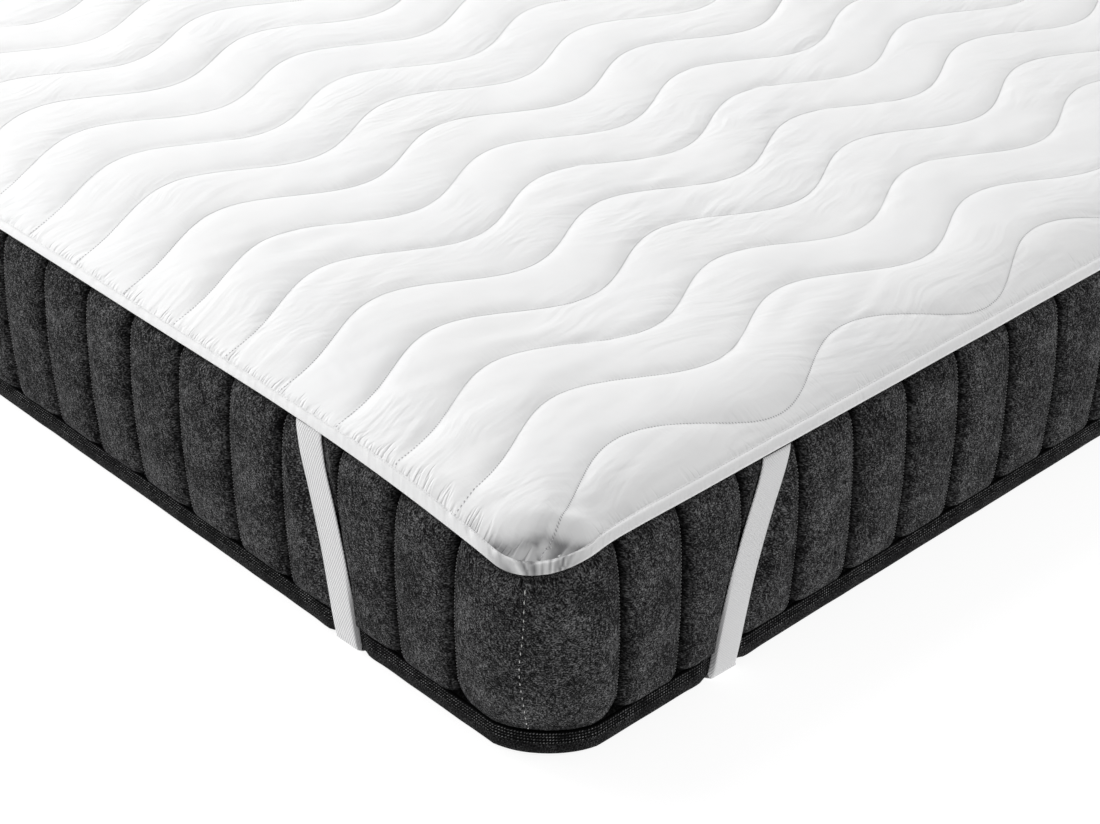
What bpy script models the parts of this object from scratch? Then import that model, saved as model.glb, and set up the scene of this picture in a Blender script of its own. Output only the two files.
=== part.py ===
"""Quilted mattress protector lying on a mattress.

The protector is a filled pad sewn into wavy channels, with a binding strip
folded round its edge and one elastic band at each corner that runs down the
side of the mattress, under its corner and up the next side.  The mattress is
plain: a soft block with rounded corners, barrel sides and a woven tape round
its lower edge.

Frame: metres, +Z up, origin on the underside in the middle, length along Y.
"""
import math

import bpy
import bmesh
from mathutils import Vector

# ---------------------------------------------------------------- sizes
WIDTH = 1.400             # mattress and pad, X
LENGTH = 2.000            # mattress and pad, Y
CORNER_RADIUS = 0.055     # plan radius of the corners
MATTRESS_HEIGHT = 0.206
GAP = 0.0003              # clearance between separate pieces

# pad
PAD_UNDERSIDE = MATTRESS_HEIGHT + GAP
PAD_AT_STITCH = 0.0044    # thickness on a sewn line
PAD_AT_CROWN = 0.0102     # thickness in the middle of a channel
CHANNEL = 0.0709          # spacing of the sewn lines
FIRST_LINE = 0.0538       # first sewn line, from the +X edge
LINES = 19
WAVE_LENGTH = 0.2502
WAVE_HEIGHT = 0.0230      # amplitude of the sewn wave
WAVE_PHASE = 4.056
PHASE_PER_LINE = 0.0254   # the waves lag a little from line to line
FIRST_LEAD = 0.207        # the first line runs ahead of the rest ...
FIRST_SHIFT = 0.0045      # ... and closer to the edge
SKEW = 0.0221             # the lines lean towards the +X edge ...
SKEW_MOST = 0.0160        # ... by this much at most
LINE_TO_EDGE = 0.0165     # the first line keeps off the binding
ROW_STEP = 0.0417         # a row of vertices every sixth of a wave
END_DROP = 0.0166         # the pad bends down over the short edges ...
SIDE_DROP = 0.0217        # ... and a little more over the long ones
DROP_WIDTH = 0.085
DROP_POWER = 2.2
CORNER_DROP = 0.0155      # and further down at each corner
CORNER_REACH_END = 0.350  # how far that is felt along a short edge
CORNER_REACH_SIDE = 0.085 # and along a long edge
CORNER_DROP_POWER = 1.15

# binding: a strip folded round the edge of the pad
BINDING_WIDTH = 0.0095
BINDING_WALL = 0.0012
TONGUE = 0.0014           # the flattened pad edge inside the fold
TONGUE_END = 0.0017

# lower tape of the mattress
TAPE_LOW = 0.0022
TAPE_HIGH = 0.0222
TAPE_THICK = 0.0027

# elastic corner bands
BAND_WIDTH = 0.030
BAND_THICK = 0.0015
BAND_END_TOP = 0.2668     # end edge, from the corner, at the pad
BAND_END_LOW = 0.2262     # and at the underside
BAND_SIDE_TOP = 0.2433    # the same on the long edge
BAND_SIDE_LOW = 0.1895

# side of the mattress, from the underside up: stand-out from the nominal
# outline, the same where a band presses it flat, height, the share of the
# corner drop it takes, and how far it is tucked in at the corners
MATTRESS_SIDE = (
    # out      pressed     up       drop   tuck
    (-0.0005, -0.0005, 0.0000, 0.0, 0.0060),
    (-0.0005, -0.0005, 0.0245, 0.0, 0.0060),
    (0.0042, 0.0020, 0.0430, 0.0, 0.0040),
    (0.0105, 0.0020, 0.0900, 0.1, 0.0005),
    (0.0100, 0.0012, 0.1330, 0.3, 0.0000),
    (0.0045, 0.0004, 0.1640, 0.8, 0.0000),
)
PRESS_HALF = 0.030        # half width of the pressed strip under a band
PRESS_FADE = 0.030
# top of the mattress: inset from the outline and distance below the pad
MATTRESS_TOP = (
    # inset     below
    (0.0000, 0.0028),
    (0.0100, 0.0024),
    (0.0260, 0.0018),
    (0.0500, 0.0010),
    (0.0850, 0.0003),
)

# course of a band down the side, at the middle of its thickness
BAND_SECTION = (
    # out      up      share of the slant
    (0.0014, 0.1800, 0.03),
    (0.0024, 0.1600, 0.18),
    (0.0034, 0.1280, 0.41),
    (0.0043, 0.0840, 0.665),
    (0.0046, 0.0490, 0.83),
    (0.0046, 0.0200, 0.94),
    (0.0043, 0.0040, 0.99),
    (0.0036, 0.0014, 1.00),
)


# ---------------------------------------------------------------- helpers
def clear_scene():
    for ob in list(bpy.data.objects):
        bpy.data.objects.remove(ob, do_unlink=True)


def fabric(name, colour, roughness):
    mat = bpy.data.materials.new(name)
    mat.use_nodes = True
    shader = mat.node_tree.nodes["Principled BSDF"]
    shader.inputs["Base Color"].default_value = (*colour, 1.0)
    shader.inputs["Roughness"].default_value = roughness
    shader.inputs["Metallic"].default_value = 0.0
    mat.diffuse_color = (*colour, 1.0)
    return mat


def add_object(name, bm, mat, smooth=True):
    bmesh.ops.recalc_face_normals(bm, faces=bm.faces)
    mesh = bpy.data.meshes.new(name)
    bm.to_mesh(mesh)
    bm.free()
    if smooth:
        mesh.shade_smooth()
        mesh.set_sharp_from_angle(angle=math.radians(40))
    mesh.materials.append(mat)
    ob = bpy.data.objects.new(name, mesh)
    bpy.context.scene.collection.objects.link(ob)
    return ob


def inset_from_edge(x, y):
    """Distance from the rounded outline of the pad, measured inwards."""
    qx = abs(x) - (WIDTH / 2 - CORNER_RADIUS)
    qy = abs(y) - (LENGTH / 2 - CORNER_RADIUS)
    outside = math.hypot(max(qx, 0.0), max(qy, 0.0))
    return CORNER_RADIUS - outside - min(max(qx, qy), 0.0)


def corner_drop(x, y):
    """How far the soft corner sinks below the straight edges."""
    a = max(1 - (WIDTH / 2 - abs(x)) / CORNER_REACH_END, 0.0)
    b = max(1 - (LENGTH / 2 - abs(y)) / CORNER_REACH_SIDE, 0.0)
    tip_in = CORNER_RADIUS * (1 - math.sqrt(0.5))
    tip = math.hypot(1 - tip_in / CORNER_REACH_END, 1 - tip_in / CORNER_REACH_SIDE)
    share = (math.hypot(a, b) - 1) / (tip - 1)
    return CORNER_DROP * max(share, 0.0) ** CORNER_DROP_POWER


def edge_drop(x, y):
    """How far the pad bends down over the edge of the mattress."""
    bend = max(1 - inset_from_edge(x, y) / DROP_WIDTH, 0.0)
    by_side = max(DROP_WIDTH - (WIDTH / 2 - abs(x)), 0.0) ** 2
    by_end = max(DROP_WIDTH - (LENGTH / 2 - abs(y)), 0.0) ** 2
    if by_side + by_end == 0:
        return 0.0
    depth = (SIDE_DROP * by_side + END_DROP * by_end) / (by_side + by_end)
    return depth * bend ** DROP_POWER


def pad_underside(x, y):
    return PAD_UNDERSIDE - edge_drop(x, y) - corner_drop(x, y)


def round_corner(v, u):
    """Pulls the square corners of the sewing grid onto the rounded outline.

    v and u are distances from the +X and -Y edges."""
    reach = CORNER_RADIUS + 0.020
    side = 1.0 if v < WIDTH / 2 else -1.0
    end = 1.0 if u < LENGTH / 2 else -1.0
    a = v if side > 0 else WIDTH - v
    b = u if end > 0 else LENGTH - u
    p, q = reach - a, reach - b
    if p > 0 and q > 0:
        level = max(p, q)
        swap = q > p
        along = min(p, q) / level
        straight = reach - CORNER_RADIUS
        run = along * (straight + CORNER_RADIUS * math.pi / 4)
        if run <= straight:
            major, minor = reach, run
        else:
            turn = (run - straight) / CORNER_RADIUS
            major = straight + CORNER_RADIUS * math.cos(turn)
            minor = straight + CORNER_RADIUS * math.sin(turn)
        major *= level / reach
        minor *= level / reach
        p, q = (minor, major) if swap else (major, minor)
        a, b = reach - p, reach - q
    x = side * (WIDTH / 2 - a)
    y = -end * (LENGTH / 2 - b)
    return x, y


# ---------------------------------------------------------------- pad
def sewn_line(n, u):
    """Distance of sewn line n from the +X edge at distance u from the -Y end."""
    lean = SKEW_MOST * math.tanh(SKEW * u / SKEW_MOST)
    first = max(1.0 - n, 0.0)
    phase = WAVE_PHASE + n * PHASE_PER_LINE + first * FIRST_LEAD
    wave = math.sin(2 * math.pi * u / WAVE_LENGTH + phase)
    v = FIRST_LINE + n * CHANNEL - lean - first * FIRST_SHIFT + WAVE_HEIGHT * wave
    if n < 1:
        soft = 0.004
        v = LINE_TO_EDGE + soft * math.log1p(math.exp((v - LINE_TO_EDGE) / soft))
    return v


def pad_columns(u):
    """Columns across the pad: the binding edge, then each sewn line and the
    crown of the channel beside it."""
    first, last = sewn_line(0, u), sewn_line(LINES - 1, u)
    columns = [(BINDING_WIDTH, "edge"), ((BINDING_WIDTH + first) / 2, "low crown")]
    for n in range(LINES):
        columns.append((sewn_line(n, u), "line"))
        if n < LINES - 1:
            columns.append((sewn_line(n + 0.5, u), "crown"))
    far = WIDTH - BINDING_WIDTH
    columns += [((far + last) / 2, "low crown"), (far, "edge")]
    return columns


def pad_rows():
    near = (BINDING_WIDTH, 0.032)
    count = round((LENGTH - 2 * 0.032) / ROW_STEP)
    step = (LENGTH - 2 * 0.032) / count
    middle = [0.032 + step * k for k in range(1, count)]
    return [near[0], near[1]] + middle + [LENGTH - near[1], LENGTH - near[0]]


def level_point(v, u, level):
    """A point of the loop round the pad at the given inset."""
    span_v = (WIDTH - 2 * level) / (WIDTH - 2 * BINDING_WIDTH)
    span_u = (LENGTH - 2 * level) / (LENGTH - 2 * BINDING_WIDTH)
    return round_corner(level + (v - BINDING_WIDTH) * span_v,
                        level + (u - BINDING_WIDTH) * span_u)


def pad_stations():
    """The sewing grid's outer points, once round the pad."""
    rows = pad_rows()
    near = [v for v, _ in pad_columns(rows[0])]
    far = [v for v, _ in pad_columns(rows[-1])]
    loop = [(v, rows[0]) for v in near]
    loop += [(far[-1], u) for u in rows[1:-1]]
    loop += [(v, rows[-1]) for v in reversed(far)]
    loop += [(near[0], u) for u in reversed(rows[1:-1])]
    return loop


def bridge(bm, ring_a, ring_b):
    count = len(ring_a)
    for k in range(count):
        j = (k + 1) % count
        bm.faces.new((ring_a[k], ring_a[j], ring_b[j], ring_b[k]))


def fan(bm, ring, centre):
    hub = bm.verts.new(centre)
    for k in range(len(ring)):
        bm.faces.new((ring[k], ring[(k + 1) % len(ring)], hub))


def build_pad(mat):
    bm = bmesh.new()
    rows = pad_rows()
    tongue_low = BINDING_WALL + GAP
    tongue_high = tongue_low + TONGUE
    grid = []
    for j, u in enumerate(rows):
        line = []
        for i, (v, kind) in enumerate(pad_columns(u)):
            x, y = round_corner(v, u)
            low = pad_underside(x, y)
            if kind == "edge" or j in (0, len(rows) - 1):
                thick = tongue_high
            elif kind == "line":
                thick = PAD_AT_STITCH
            elif kind == "low crown":
                room = 2 * min(v - BINDING_WIDTH, WIDTH - BINDING_WIDTH - v)
                share = 0.55 * min(room / 0.040, 1.0) ** 1.5
                thick = PAD_AT_STITCH + share * (PAD_AT_CROWN - PAD_AT_STITCH)
            elif j in (1, len(rows) - 2):
                thick = 0.45 * PAD_AT_STITCH + 0.55 * PAD_AT_CROWN
            else:
                thick = PAD_AT_CROWN
            line.append(bm.verts.new((x, y, low + thick)))
        grid.append(line)
    for j in range(len(rows) - 1):
        for i in range(len(grid[0]) - 1):
            bm.faces.new((grid[j][i], grid[j][i + 1], grid[j + 1][i + 1], grid[j + 1][i]))
    last = len(grid[0]) - 1
    top = [grid[0][i] for i in range(last + 1)]
    top += [grid[j][last] for j in range(1, len(rows) - 1)]
    top += [grid[-1][i] for i in range(last, -1, -1)]
    top += [grid[j][0] for j in range(len(rows) - 2, 0, -1)]

    def ring(level, lift, flat=False):
        out = []
        for v, u in pad_stations():
            x, y = level_point(v, u, level)
            low = PAD_UNDERSIDE if flat else pad_underside(x, y)
            out.append(bm.verts.new((x, y, low + lift)))
        return out

    rings = [top,
             ring(TONGUE_END, tongue_high),
             ring(TONGUE_END, tongue_low),
             ring(BINDING_WIDTH, tongue_low),
             ring(0.026, 0.0),
             ring(0.050, 0.0),
             ring(DROP_WIDTH, 0.0, flat=True)]
    for a, b in zip(rings, rings[1:]):
        bridge(bm, a, b)
    fan(bm, rings[-1], (0.0, 0.0, PAD_UNDERSIDE))
    return add_object("quilted_pad", bm, mat)


def edge_stations():
    """Every outer point of the sewing grid near a corner, few on the straights."""
    near = [(v, u) for v, u in pad_stations()
            if min(v, WIDTH - v) < 0.375 and min(u, LENGTH - u) < 0.300]
    full = []
    for k, here in enumerate(near):
        ahead = near[(k + 1) % len(near)]
        full.append(here)
        step_v, step_u = ahead[0] - here[0], ahead[1] - here[1]
        if max(abs(step_v), abs(step_u)) > 0.5:
            count = 2 if abs(step_v) > abs(step_u) else 3
            full += [(here[0] + step_v * t / (count + 1), here[1] + step_u * t / (count + 1))
                     for t in range(1, count + 1)]
    return full


# ---------------------------------------------------------------- binding
def build_binding(mat):
    """A strip folded over the pad edge: a lying U closed at the outside."""
    bm = bmesh.new()
    total = 2 * BINDING_WALL + 2 * GAP + TONGUE
    lip = BINDING_WIDTH - GAP
    section = (
        # inset             lift
        (lip, 0.0),
        (0.0010, 0.0),
        (0.0000, total * 0.5),
        (0.0010, total),
        (lip, total),
        (lip, total - BINDING_WALL),
        (BINDING_WALL, total - BINDING_WALL),
        (BINDING_WALL, BINDING_WALL),
        (lip, BINDING_WALL),
    )
    full = edge_stations()
    rings = []
    for inset, lift in section:
        ring = []
        for v, u in full:
            x, y = level_point(v, u, inset)
            ring.append(bm.verts.new((x, y, pad_underside(x, y) + lift)))
        rings.append(ring)
    for k in range(len(rings)):
        bridge(bm, rings[k], rings[(k + 1) % len(rings)])
    return add_object("edge_binding", bm, mat)


# ---------------------------------------------------------------- mattress
def outward(x, y):
    """Direction away from the mattress at a point of the outline."""
    qx = abs(x) - (WIDTH / 2 - CORNER_RADIUS)
    qy = abs(y) - (LENGTH / 2 - CORNER_RADIUS)
    if qx > 0 and qy > 0:
        size = math.hypot(qx, qy)
        return math.copysign(qx / size, x), math.copysign(qy / size, y)
    if qx > qy:
        return math.copysign(1.0, x), 0.0
    return 0.0, math.copysign(1.0, y)


def offset_ring(bm, out, tuck, height):
    """A loop at a stand-out from the outline, tucked in at the corners.

    out and height are functions of the point of the outline beside it."""
    ring = []
    for v, u in edge_stations():
        x, y = level_point(v, u, 0.0)
        nx, ny = outward(x, y)
        away = out(x, y) - tuck * 2 * abs(nx * ny)
        ring.append(bm.verts.new((x + nx * away, y + ny * away, height(x, y))))
    return ring


def pressed(x, y):
    """1 under a band, 0 well away from one."""
    nx, ny = outward(x, y)
    if abs(nx * ny) > 1e-6:
        return 0.0
    if abs(ny) > 0.5:
        middle = WIDTH / 2 - abs(x) - (BAND_END_TOP + BAND_END_LOW) / 2
        spread = (BAND_END_TOP - BAND_END_LOW) / 2
    else:
        middle = LENGTH / 2 - abs(y) - (BAND_SIDE_TOP + BAND_SIDE_LOW) / 2
        spread = (BAND_SIDE_TOP - BAND_SIDE_LOW) / 2
    past = (abs(middle) - spread - PRESS_HALF) / PRESS_FADE
    return 1.0 - min(max(past, 0.0), 1.0)


def build_mattress(mat):
    bm = bmesh.new()
    rings = []
    for out, flat, up, share, tuck in MATTRESS_SIDE:
        rings.append(offset_ring(
            bm, lambda x, y: out + (flat - out) * pressed(x, y), tuck,
            lambda x, y: up - share * corner_drop(x, y)))
    for inset, below in MATTRESS_TOP:
        ring = []
        for v, u in edge_stations():
            x, y = level_point(v, u, inset)
            low = pad_underside(x, y)
            if inset >= DROP_WIDTH:
                low = PAD_UNDERSIDE
            ring.append(bm.verts.new((x, y, low - below)))
        rings.append(ring)
    for a, b in zip(rings, rings[1:]):
        bridge(bm, a, b)
    fan(bm, rings[0], (0.0, 0.0, 0.0))
    fan(bm, rings[-1], (0.0, 0.0, MATTRESS_HEIGHT))
    return add_object("mattress_body", bm, mat)


def build_tape(mat):
    bm = bmesh.new()
    section = (
        # out                up
        (0.0000, TAPE_LOW),
        (TAPE_THICK * 0.8, TAPE_LOW),
        (TAPE_THICK, (TAPE_LOW + TAPE_HIGH) / 2),
        (TAPE_THICK * 0.6, TAPE_HIGH),
        (0.0000, TAPE_HIGH),
    )
    tuck = MATTRESS_SIDE[0][4]
    rings = [offset_ring(bm, lambda x, y: out, tuck, lambda x, y: up) for out, up in section]
    for k in range(len(rings)):
        bridge(bm, rings[k], rings[(k + 1) % len(rings)])
    return add_object("mattress_tape", bm, mat)


# ---------------------------------------------------------------- bands
def band_course():
    """Middle line of a band for the corner at +X, -Y, with the direction
    away from the mattress at each point."""
    hx, hy = WIDTH / 2, LENGTH / 2
    down = []
    for out, up, slant in BAND_SECTION:
        x = hx - (BAND_END_TOP + (BAND_END_LOW - BAND_END_TOP) * slant)
        down.append((Vector((x, -hy - out, up)), Vector((0, -1, 0))))
    rise = []
    for out, up, slant in BAND_SECTION:
        y = -hy + (BAND_SIDE_TOP + (BAND_SIDE_LOW - BAND_SIDE_TOP) * slant)
        rise.append((Vector((hx + out, y, up)), Vector((1, 0, 0))))
    # under the corner: in from one edge, round in a wide bend, out at the other
    a = Vector((hx - BAND_END_LOW, -hy, 0.0))
    b = Vector((hx, -hy + BAND_SIDE_LOW, 0.0))
    heading_a, heading_b = Vector((0.24, 1.0, 0.0)), Vector((-1.0, -0.28, 0.0))
    a2, b2 = a + 0.105 * heading_a, b + 0.125 * heading_b
    under = []
    steps = 8
    for k in range(steps + 1):
        t = k / steps
        p = (a * (1 - t) ** 3 + a2 * 3 * t * (1 - t) ** 2
             + b2 * 3 * t ** 2 * (1 - t) + b * t ** 3)
        under.append((Vector((p.x, p.y, BAND_THICK / 2)), Vector((0, 0, -1))))
    return down, under, list(reversed(rise))


def build_band(name, sign_x, sign_y, mat):
    down, under, rise = band_course()
    bm = bmesh.new()
    half, thick = BAND_WIDTH / 2, BAND_THICK / 2
    rows = []
    # on the sides each row lies along the edge of the mattress
    def side_row(p, away, along, lean):
        wide = half / math.cos(lean)
        inner = p - away * thick
        outer = p + away * thick
        return [inner - along * wide, outer - along * wide,
                outer + along * wide, inner + along * wide]
    lean_a = math.atan2(BAND_END_TOP - BAND_END_LOW, 0.185)
    lean_b = math.atan2(BAND_SIDE_TOP - BAND_SIDE_LOW, 0.185)
    for p, away in down:
        rows.append(side_row(p, away, Vector((1, 0, 0)), lean_a))
    points = [p for p, _ in under]
    for k in range(len(under)):
        p = points[k]
        if k == 0:
            across = Vector((1, 0, 0))
            wide = half / math.cos(lean_a)
        elif k == len(under) - 1:
            across = Vector((0, -1, 0))
            wide = half / math.cos(lean_b)
        else:
            run = (points[k + 1] - points[k - 1]).normalized()
            across = Vector((run.y, -run.x, 0))
            wide = half
        low = Vector((0, 0, -thick))
        rows.append([p - low - across * wide, p + low - across * wide,
                     p + low + across * wide, p - low + across * wide])
    for p, away in rise:
        rows.append(side_row(p, away, Vector((0, -1, 0)), lean_b))
    rings = [[bm.verts.new((c.x * sign_x, c.y * sign_y, c.z)) for c in row] for row in rows]
    for a, b in zip(rings, rings[1:]):
        for k in range(4):
            j = (k + 1) % 4
            bm.faces.new((a[k], a[j], b[j], b[k]))
    bm.faces.new(rings[0])
    bm.faces.new(tuple(reversed(rings[-1])))
    return add_object(name, bm, mat)


def build_band_groove(name, sign_x, sign_y):
    """Cutter for the shallow groove that a band presses into the underside."""
    _, under, _ = band_course()
    bm = bmesh.new()
    half = BAND_WIDTH / 2 + 0.0022
    points = [p for p, _ in under]
    top = BAND_THICK + 0.0006
    rows = []
    for k, p in enumerate(points):
        if k == 0:
            run, across = Vector((0, 1, 0)), Vector((1, 0, 0))
        elif k == len(points) - 1:
            run, across = Vector((1, 0, 0)), Vector((0, -1, 0))
        else:
            run = (points[k + 1] - points[k - 1]).normalized()
            across = Vector((run.y, -run.x, 0))
        q = Vector((p.x, p.y, 0))
        if k == 0:
            outer = q - run * 0.004
            rows.append((outer, across, half))
        rows.append((q, across, half))
        if k == len(points) - 1:
            outer = q + run * 0.004
            rows.append((outer, across, half))
    rings = []
    for q, across, wide in rows:
        rings.append([bm.verts.new(((q + across * s * wide).x * sign_x,
                                    (q + across * s * wide).y * sign_y, z))
                      for s, z in ((-1, top), (-1, -0.004), (1, -0.004), (1, top))])
    for a, b in zip(rings, rings[1:]):
        for k in range(4):
            j = (k + 1) % 4
            bm.faces.new((a[k], a[j], b[j], b[k]))
    bm.faces.new(rings[0])
    bm.faces.new(tuple(reversed(rings[-1])))
    ob = add_object(name, bm, bpy.data.materials["mattress_cloth"], smooth=False)
    ob.hide_render = True
    ob.display_type = "WIRE"
    return ob


# ---------------------------------------------------------------- build
def main():
    clear_scene()
    white = fabric("pad_cloth", (0.86, 0.86, 0.86), 0.75)
    trim = fabric("binding_cloth", (0.85, 0.85, 0.85), 0.70)
    elastic = fabric("elastic_cloth", (0.80, 0.80, 0.80), 0.80)
    dark = fabric("mattress_cloth", (0.045, 0.046, 0.048), 0.95)
    black = fabric("tape_cloth", (0.020, 0.020, 0.022), 0.80)

    build_pad(white)
    build_binding(trim)
    mattress = build_mattress(dark)
    build_tape(black)
    corners = (("front_right", 1, 1), ("front_left", -1, 1),
               ("back_right", 1, -1), ("back_left", -1, -1))
    for place, sx, sy in corners:
        build_band("corner_elastic_" + place, sx, sy, elastic)
        groove = build_band_groove("groove_" + place, sx, sy)
        cut = mattress.modifiers.new("groove_" + place, "BOOLEAN")
        cut.operation = "DIFFERENCE"
        cut.solver = "EXACT"
        cut.object = groove


main()
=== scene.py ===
"""Looks of the quilted mattress protector on its mattress, built round the
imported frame.

Metres, +Z up.  v is the distance from the +X edge and u the distance from the
-Y end, both as in the frame: x = W / 2 - v, y = u - L / 2.
"""
import math

import bmesh
import bpy
import numpy as np
from mathutils import Matrix, Vector


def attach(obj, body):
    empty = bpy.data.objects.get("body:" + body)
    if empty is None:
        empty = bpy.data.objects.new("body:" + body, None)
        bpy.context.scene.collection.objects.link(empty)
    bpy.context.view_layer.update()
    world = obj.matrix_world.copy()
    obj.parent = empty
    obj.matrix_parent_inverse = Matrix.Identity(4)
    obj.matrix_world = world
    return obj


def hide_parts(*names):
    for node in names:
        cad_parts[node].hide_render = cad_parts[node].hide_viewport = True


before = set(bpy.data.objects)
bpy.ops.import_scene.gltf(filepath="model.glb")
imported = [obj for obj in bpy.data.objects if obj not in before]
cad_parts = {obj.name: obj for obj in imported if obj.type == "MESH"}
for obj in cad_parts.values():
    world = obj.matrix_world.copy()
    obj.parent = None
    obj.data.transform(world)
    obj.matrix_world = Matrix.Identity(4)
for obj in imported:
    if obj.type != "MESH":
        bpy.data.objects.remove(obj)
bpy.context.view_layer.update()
PI = math.pi

# ------------------------------------------------------------ sizes (frame)
W, L, R = 1.400, 2.000, 0.055
TOP = 0.2063                # underside of the pad on the flat
STITCH, CROWN = 0.0044, 0.0088
CHANNEL, FIRST_LINE, LINES = 0.0709, 0.0538, 19
WAVE_LENGTH, WAVE_HEIGHT, WAVE_PHASE = 0.2502, 0.0230, 4.056
PHASE_PER_LINE, FIRST_LEAD, FIRST_SHIFT = 0.0254, 0.207, 0.0045
SKEW, SKEW_MOST, LINE_TO_EDGE = 0.0221, 0.0160, 0.0165
END_DROP, SIDE_DROP, DROP_WIDTH, DROP_POWER = 0.0166, 0.0217, 0.085, 2.2
CORNER_DROP, CORNER_DROP_POWER = 0.0155, 1.15
CORNER_REACH_END, CORNER_REACH_SIDE = 0.350, 0.085
BINDING = 0.0095
WALL, TONGUE, GAP = 0.0012, 0.0014, 0.0003
TONGUE_LOW = WALL + GAP
TONGUE_HIGH = TONGUE_LOW + TONGUE
FOLD = 2 * WALL + 2 * GAP + TONGUE
TAPE_LOW, TAPE_HIGH = 0.0012, 0.0222
BAND_WIDTH = 0.030
BAND_END_TOP, BAND_END_LOW = 0.2668, 0.2262
BAND_SIDE_TOP, BAND_SIDE_LOW = 0.2433, 0.1895
STITCH_PITCH = 0.0026


# ------------------------------------------------------------ small helpers
def smooth(x):
    x = np.clip(x, 0.0, 1.0)
    return x * x * (3 - 2 * x)


def lattice(i, j, seed):
    n = (i.astype(np.int64) * 374761393 + j.astype(np.int64) * 668265263
         + seed * 144269504) & 0xFFFFFFFF
    n = ((n ^ (n >> 13)) * 1274126177) & 0xFFFFFFFF
    n = n ^ (n >> 16)
    return n / 4294967295.0 * 2 - 1


def noise(x, y, seed=0):
    """Smooth value noise in -1..1, one cell per unit."""
    x, y = np.broadcast_arrays(np.asarray(x, float), np.asarray(y, float))
    i, j = np.floor(x), np.floor(y)
    fx, fy = smooth(x - i), smooth(y - j)
    i, j = i.astype(np.int64), j.astype(np.int64)
    a, b = lattice(i, j, seed), lattice(i + 1, j, seed)
    c, d = lattice(i, j + 1, seed), lattice(i + 1, j + 1, seed)
    return (a * (1 - fx) + b * fx) * (1 - fy) + (c * (1 - fx) + d * fx) * fy


def bump(x, y, seed=0, octaves=3):
    total, size = 0.0, 1.0
    for k in range(octaves):
        total = total + size * noise(x * 2 ** k, y * 2 ** k, seed + 17 * k)
        size *= 0.5
    return total


def mesh_object(name, points, faces, mat, uvs=None, recalc=True):
    """A mesh from arrays; uvs maps a layer name to one pair per face corner."""
    me = bpy.data.meshes.new(name)
    me.from_pydata(np.asarray(points, float).tolist(), [],
                   [list(map(int, f)) for f in faces])
    for layer, values in (uvs or {}).items():
        made = me.uv_layers.new(name=layer)
        made.data.foreach_set("uv", np.asarray(values, np.float32).ravel())
    if recalc:
        bm = bmesh.new()
        bm.from_mesh(me)
        bmesh.ops.recalc_face_normals(bm, faces=bm.faces)
        bm.to_mesh(me)
        bm.free()
    me.shade_smooth()
    me.materials.append(mat)
    ob = bpy.data.objects.new(name, me)
    bpy.context.scene.collection.objects.link(ob)
    return ob


def ring_faces(a, b, n, closed=True):
    """Quads between two loops of n points that start at index a and b."""
    k = np.arange(n if closed else n - 1)
    j = (k + 1) % n
    return np.stack([a + k, a + j, b + j, b + k], 1)


# ------------------------------------------------------------ pad surface
def inset_from_edge(x, y):
    qx = np.abs(x) - (W / 2 - R)
    qy = np.abs(y) - (L / 2 - R)
    outside = np.hypot(np.maximum(qx, 0), np.maximum(qy, 0))
    return R - outside - np.minimum(np.maximum(qx, qy), 0)


def corner_drop(x, y):
    a = np.maximum(1 - (W / 2 - np.abs(x)) / CORNER_REACH_END, 0)
    b = np.maximum(1 - (L / 2 - np.abs(y)) / CORNER_REACH_SIDE, 0)
    tip_in = R * (1 - math.sqrt(0.5))
    tip = math.hypot(1 - tip_in / CORNER_REACH_END, 1 - tip_in / CORNER_REACH_SIDE)
    share = (np.hypot(a, b) - 1) / (tip - 1)
    return CORNER_DROP * np.maximum(share, 0) ** CORNER_DROP_POWER


def edge_drop(x, y):
    bend = np.maximum(1 - inset_from_edge(x, y) / DROP_WIDTH, 0)
    by_side = np.maximum(DROP_WIDTH - (W / 2 - np.abs(x)), 0) ** 2
    by_end = np.maximum(DROP_WIDTH - (L / 2 - np.abs(y)), 0) ** 2
    depth = (SIDE_DROP * by_side + END_DROP * by_end) / np.maximum(by_side + by_end, 1e-12)
    return depth * bend ** DROP_POWER


def underside(x, y):
    return TOP - edge_drop(x, y) - corner_drop(x, y)


def round_corner(v, u):
    """Pulls the square corners of the sewing grid onto the rounded outline."""
    v, u = np.broadcast_arrays(np.asarray(v, float), np.asarray(u, float))
    reach = R + 0.020
    side = np.where(v < W / 2, 1.0, -1.0)
    end = np.where(u < L / 2, 1.0, -1.0)
    a = np.where(side > 0, v, W - v)
    b = np.where(end > 0, u, L - u)
    p, q = reach - a, reach - b
    near = (p > 0) & (q > 0)
    level = np.where(near, np.maximum(p, q), 1.0)
    along = np.where(near, np.minimum(p, q), 0.0) / level
    straight = reach - R
    run = along * (straight + R * PI / 4)
    turn = np.maximum(run - straight, 0) / R
    major = np.where(run <= straight, reach, straight + R * np.cos(turn)) * level / reach
    minor = np.where(run <= straight, run, straight + R * np.sin(turn)) * level / reach
    swap = q > p
    pp, qq = np.where(swap, minor, major), np.where(swap, major, minor)
    a, b = np.where(near, reach - pp, a), np.where(near, reach - qq, b)
    return side * (W / 2 - a), -end * (L / 2 - b)


def level_point(v, u, level):
    sv = (W - 2 * level) / (W - 2 * BINDING)
    su = (L - 2 * level) / (L - 2 * BINDING)
    return round_corner(level + (v - BINDING) * sv, level + (u - BINDING) * su)


def wave(n, u):
    """Distance of quilting line n from the +X edge, on the flat."""
    lean = SKEW_MOST * np.tanh(SKEW * u / SKEW_MOST)
    first = max(1.0 - n, 0.0)
    phase = WAVE_PHASE + n * PHASE_PER_LINE + first * FIRST_LEAD
    return (FIRST_LINE + n * CHANNEL - lean - first * FIRST_SHIFT
            + WAVE_HEIGHT * np.sin(2 * PI * u / WAVE_LENGTH + phase))


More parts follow.
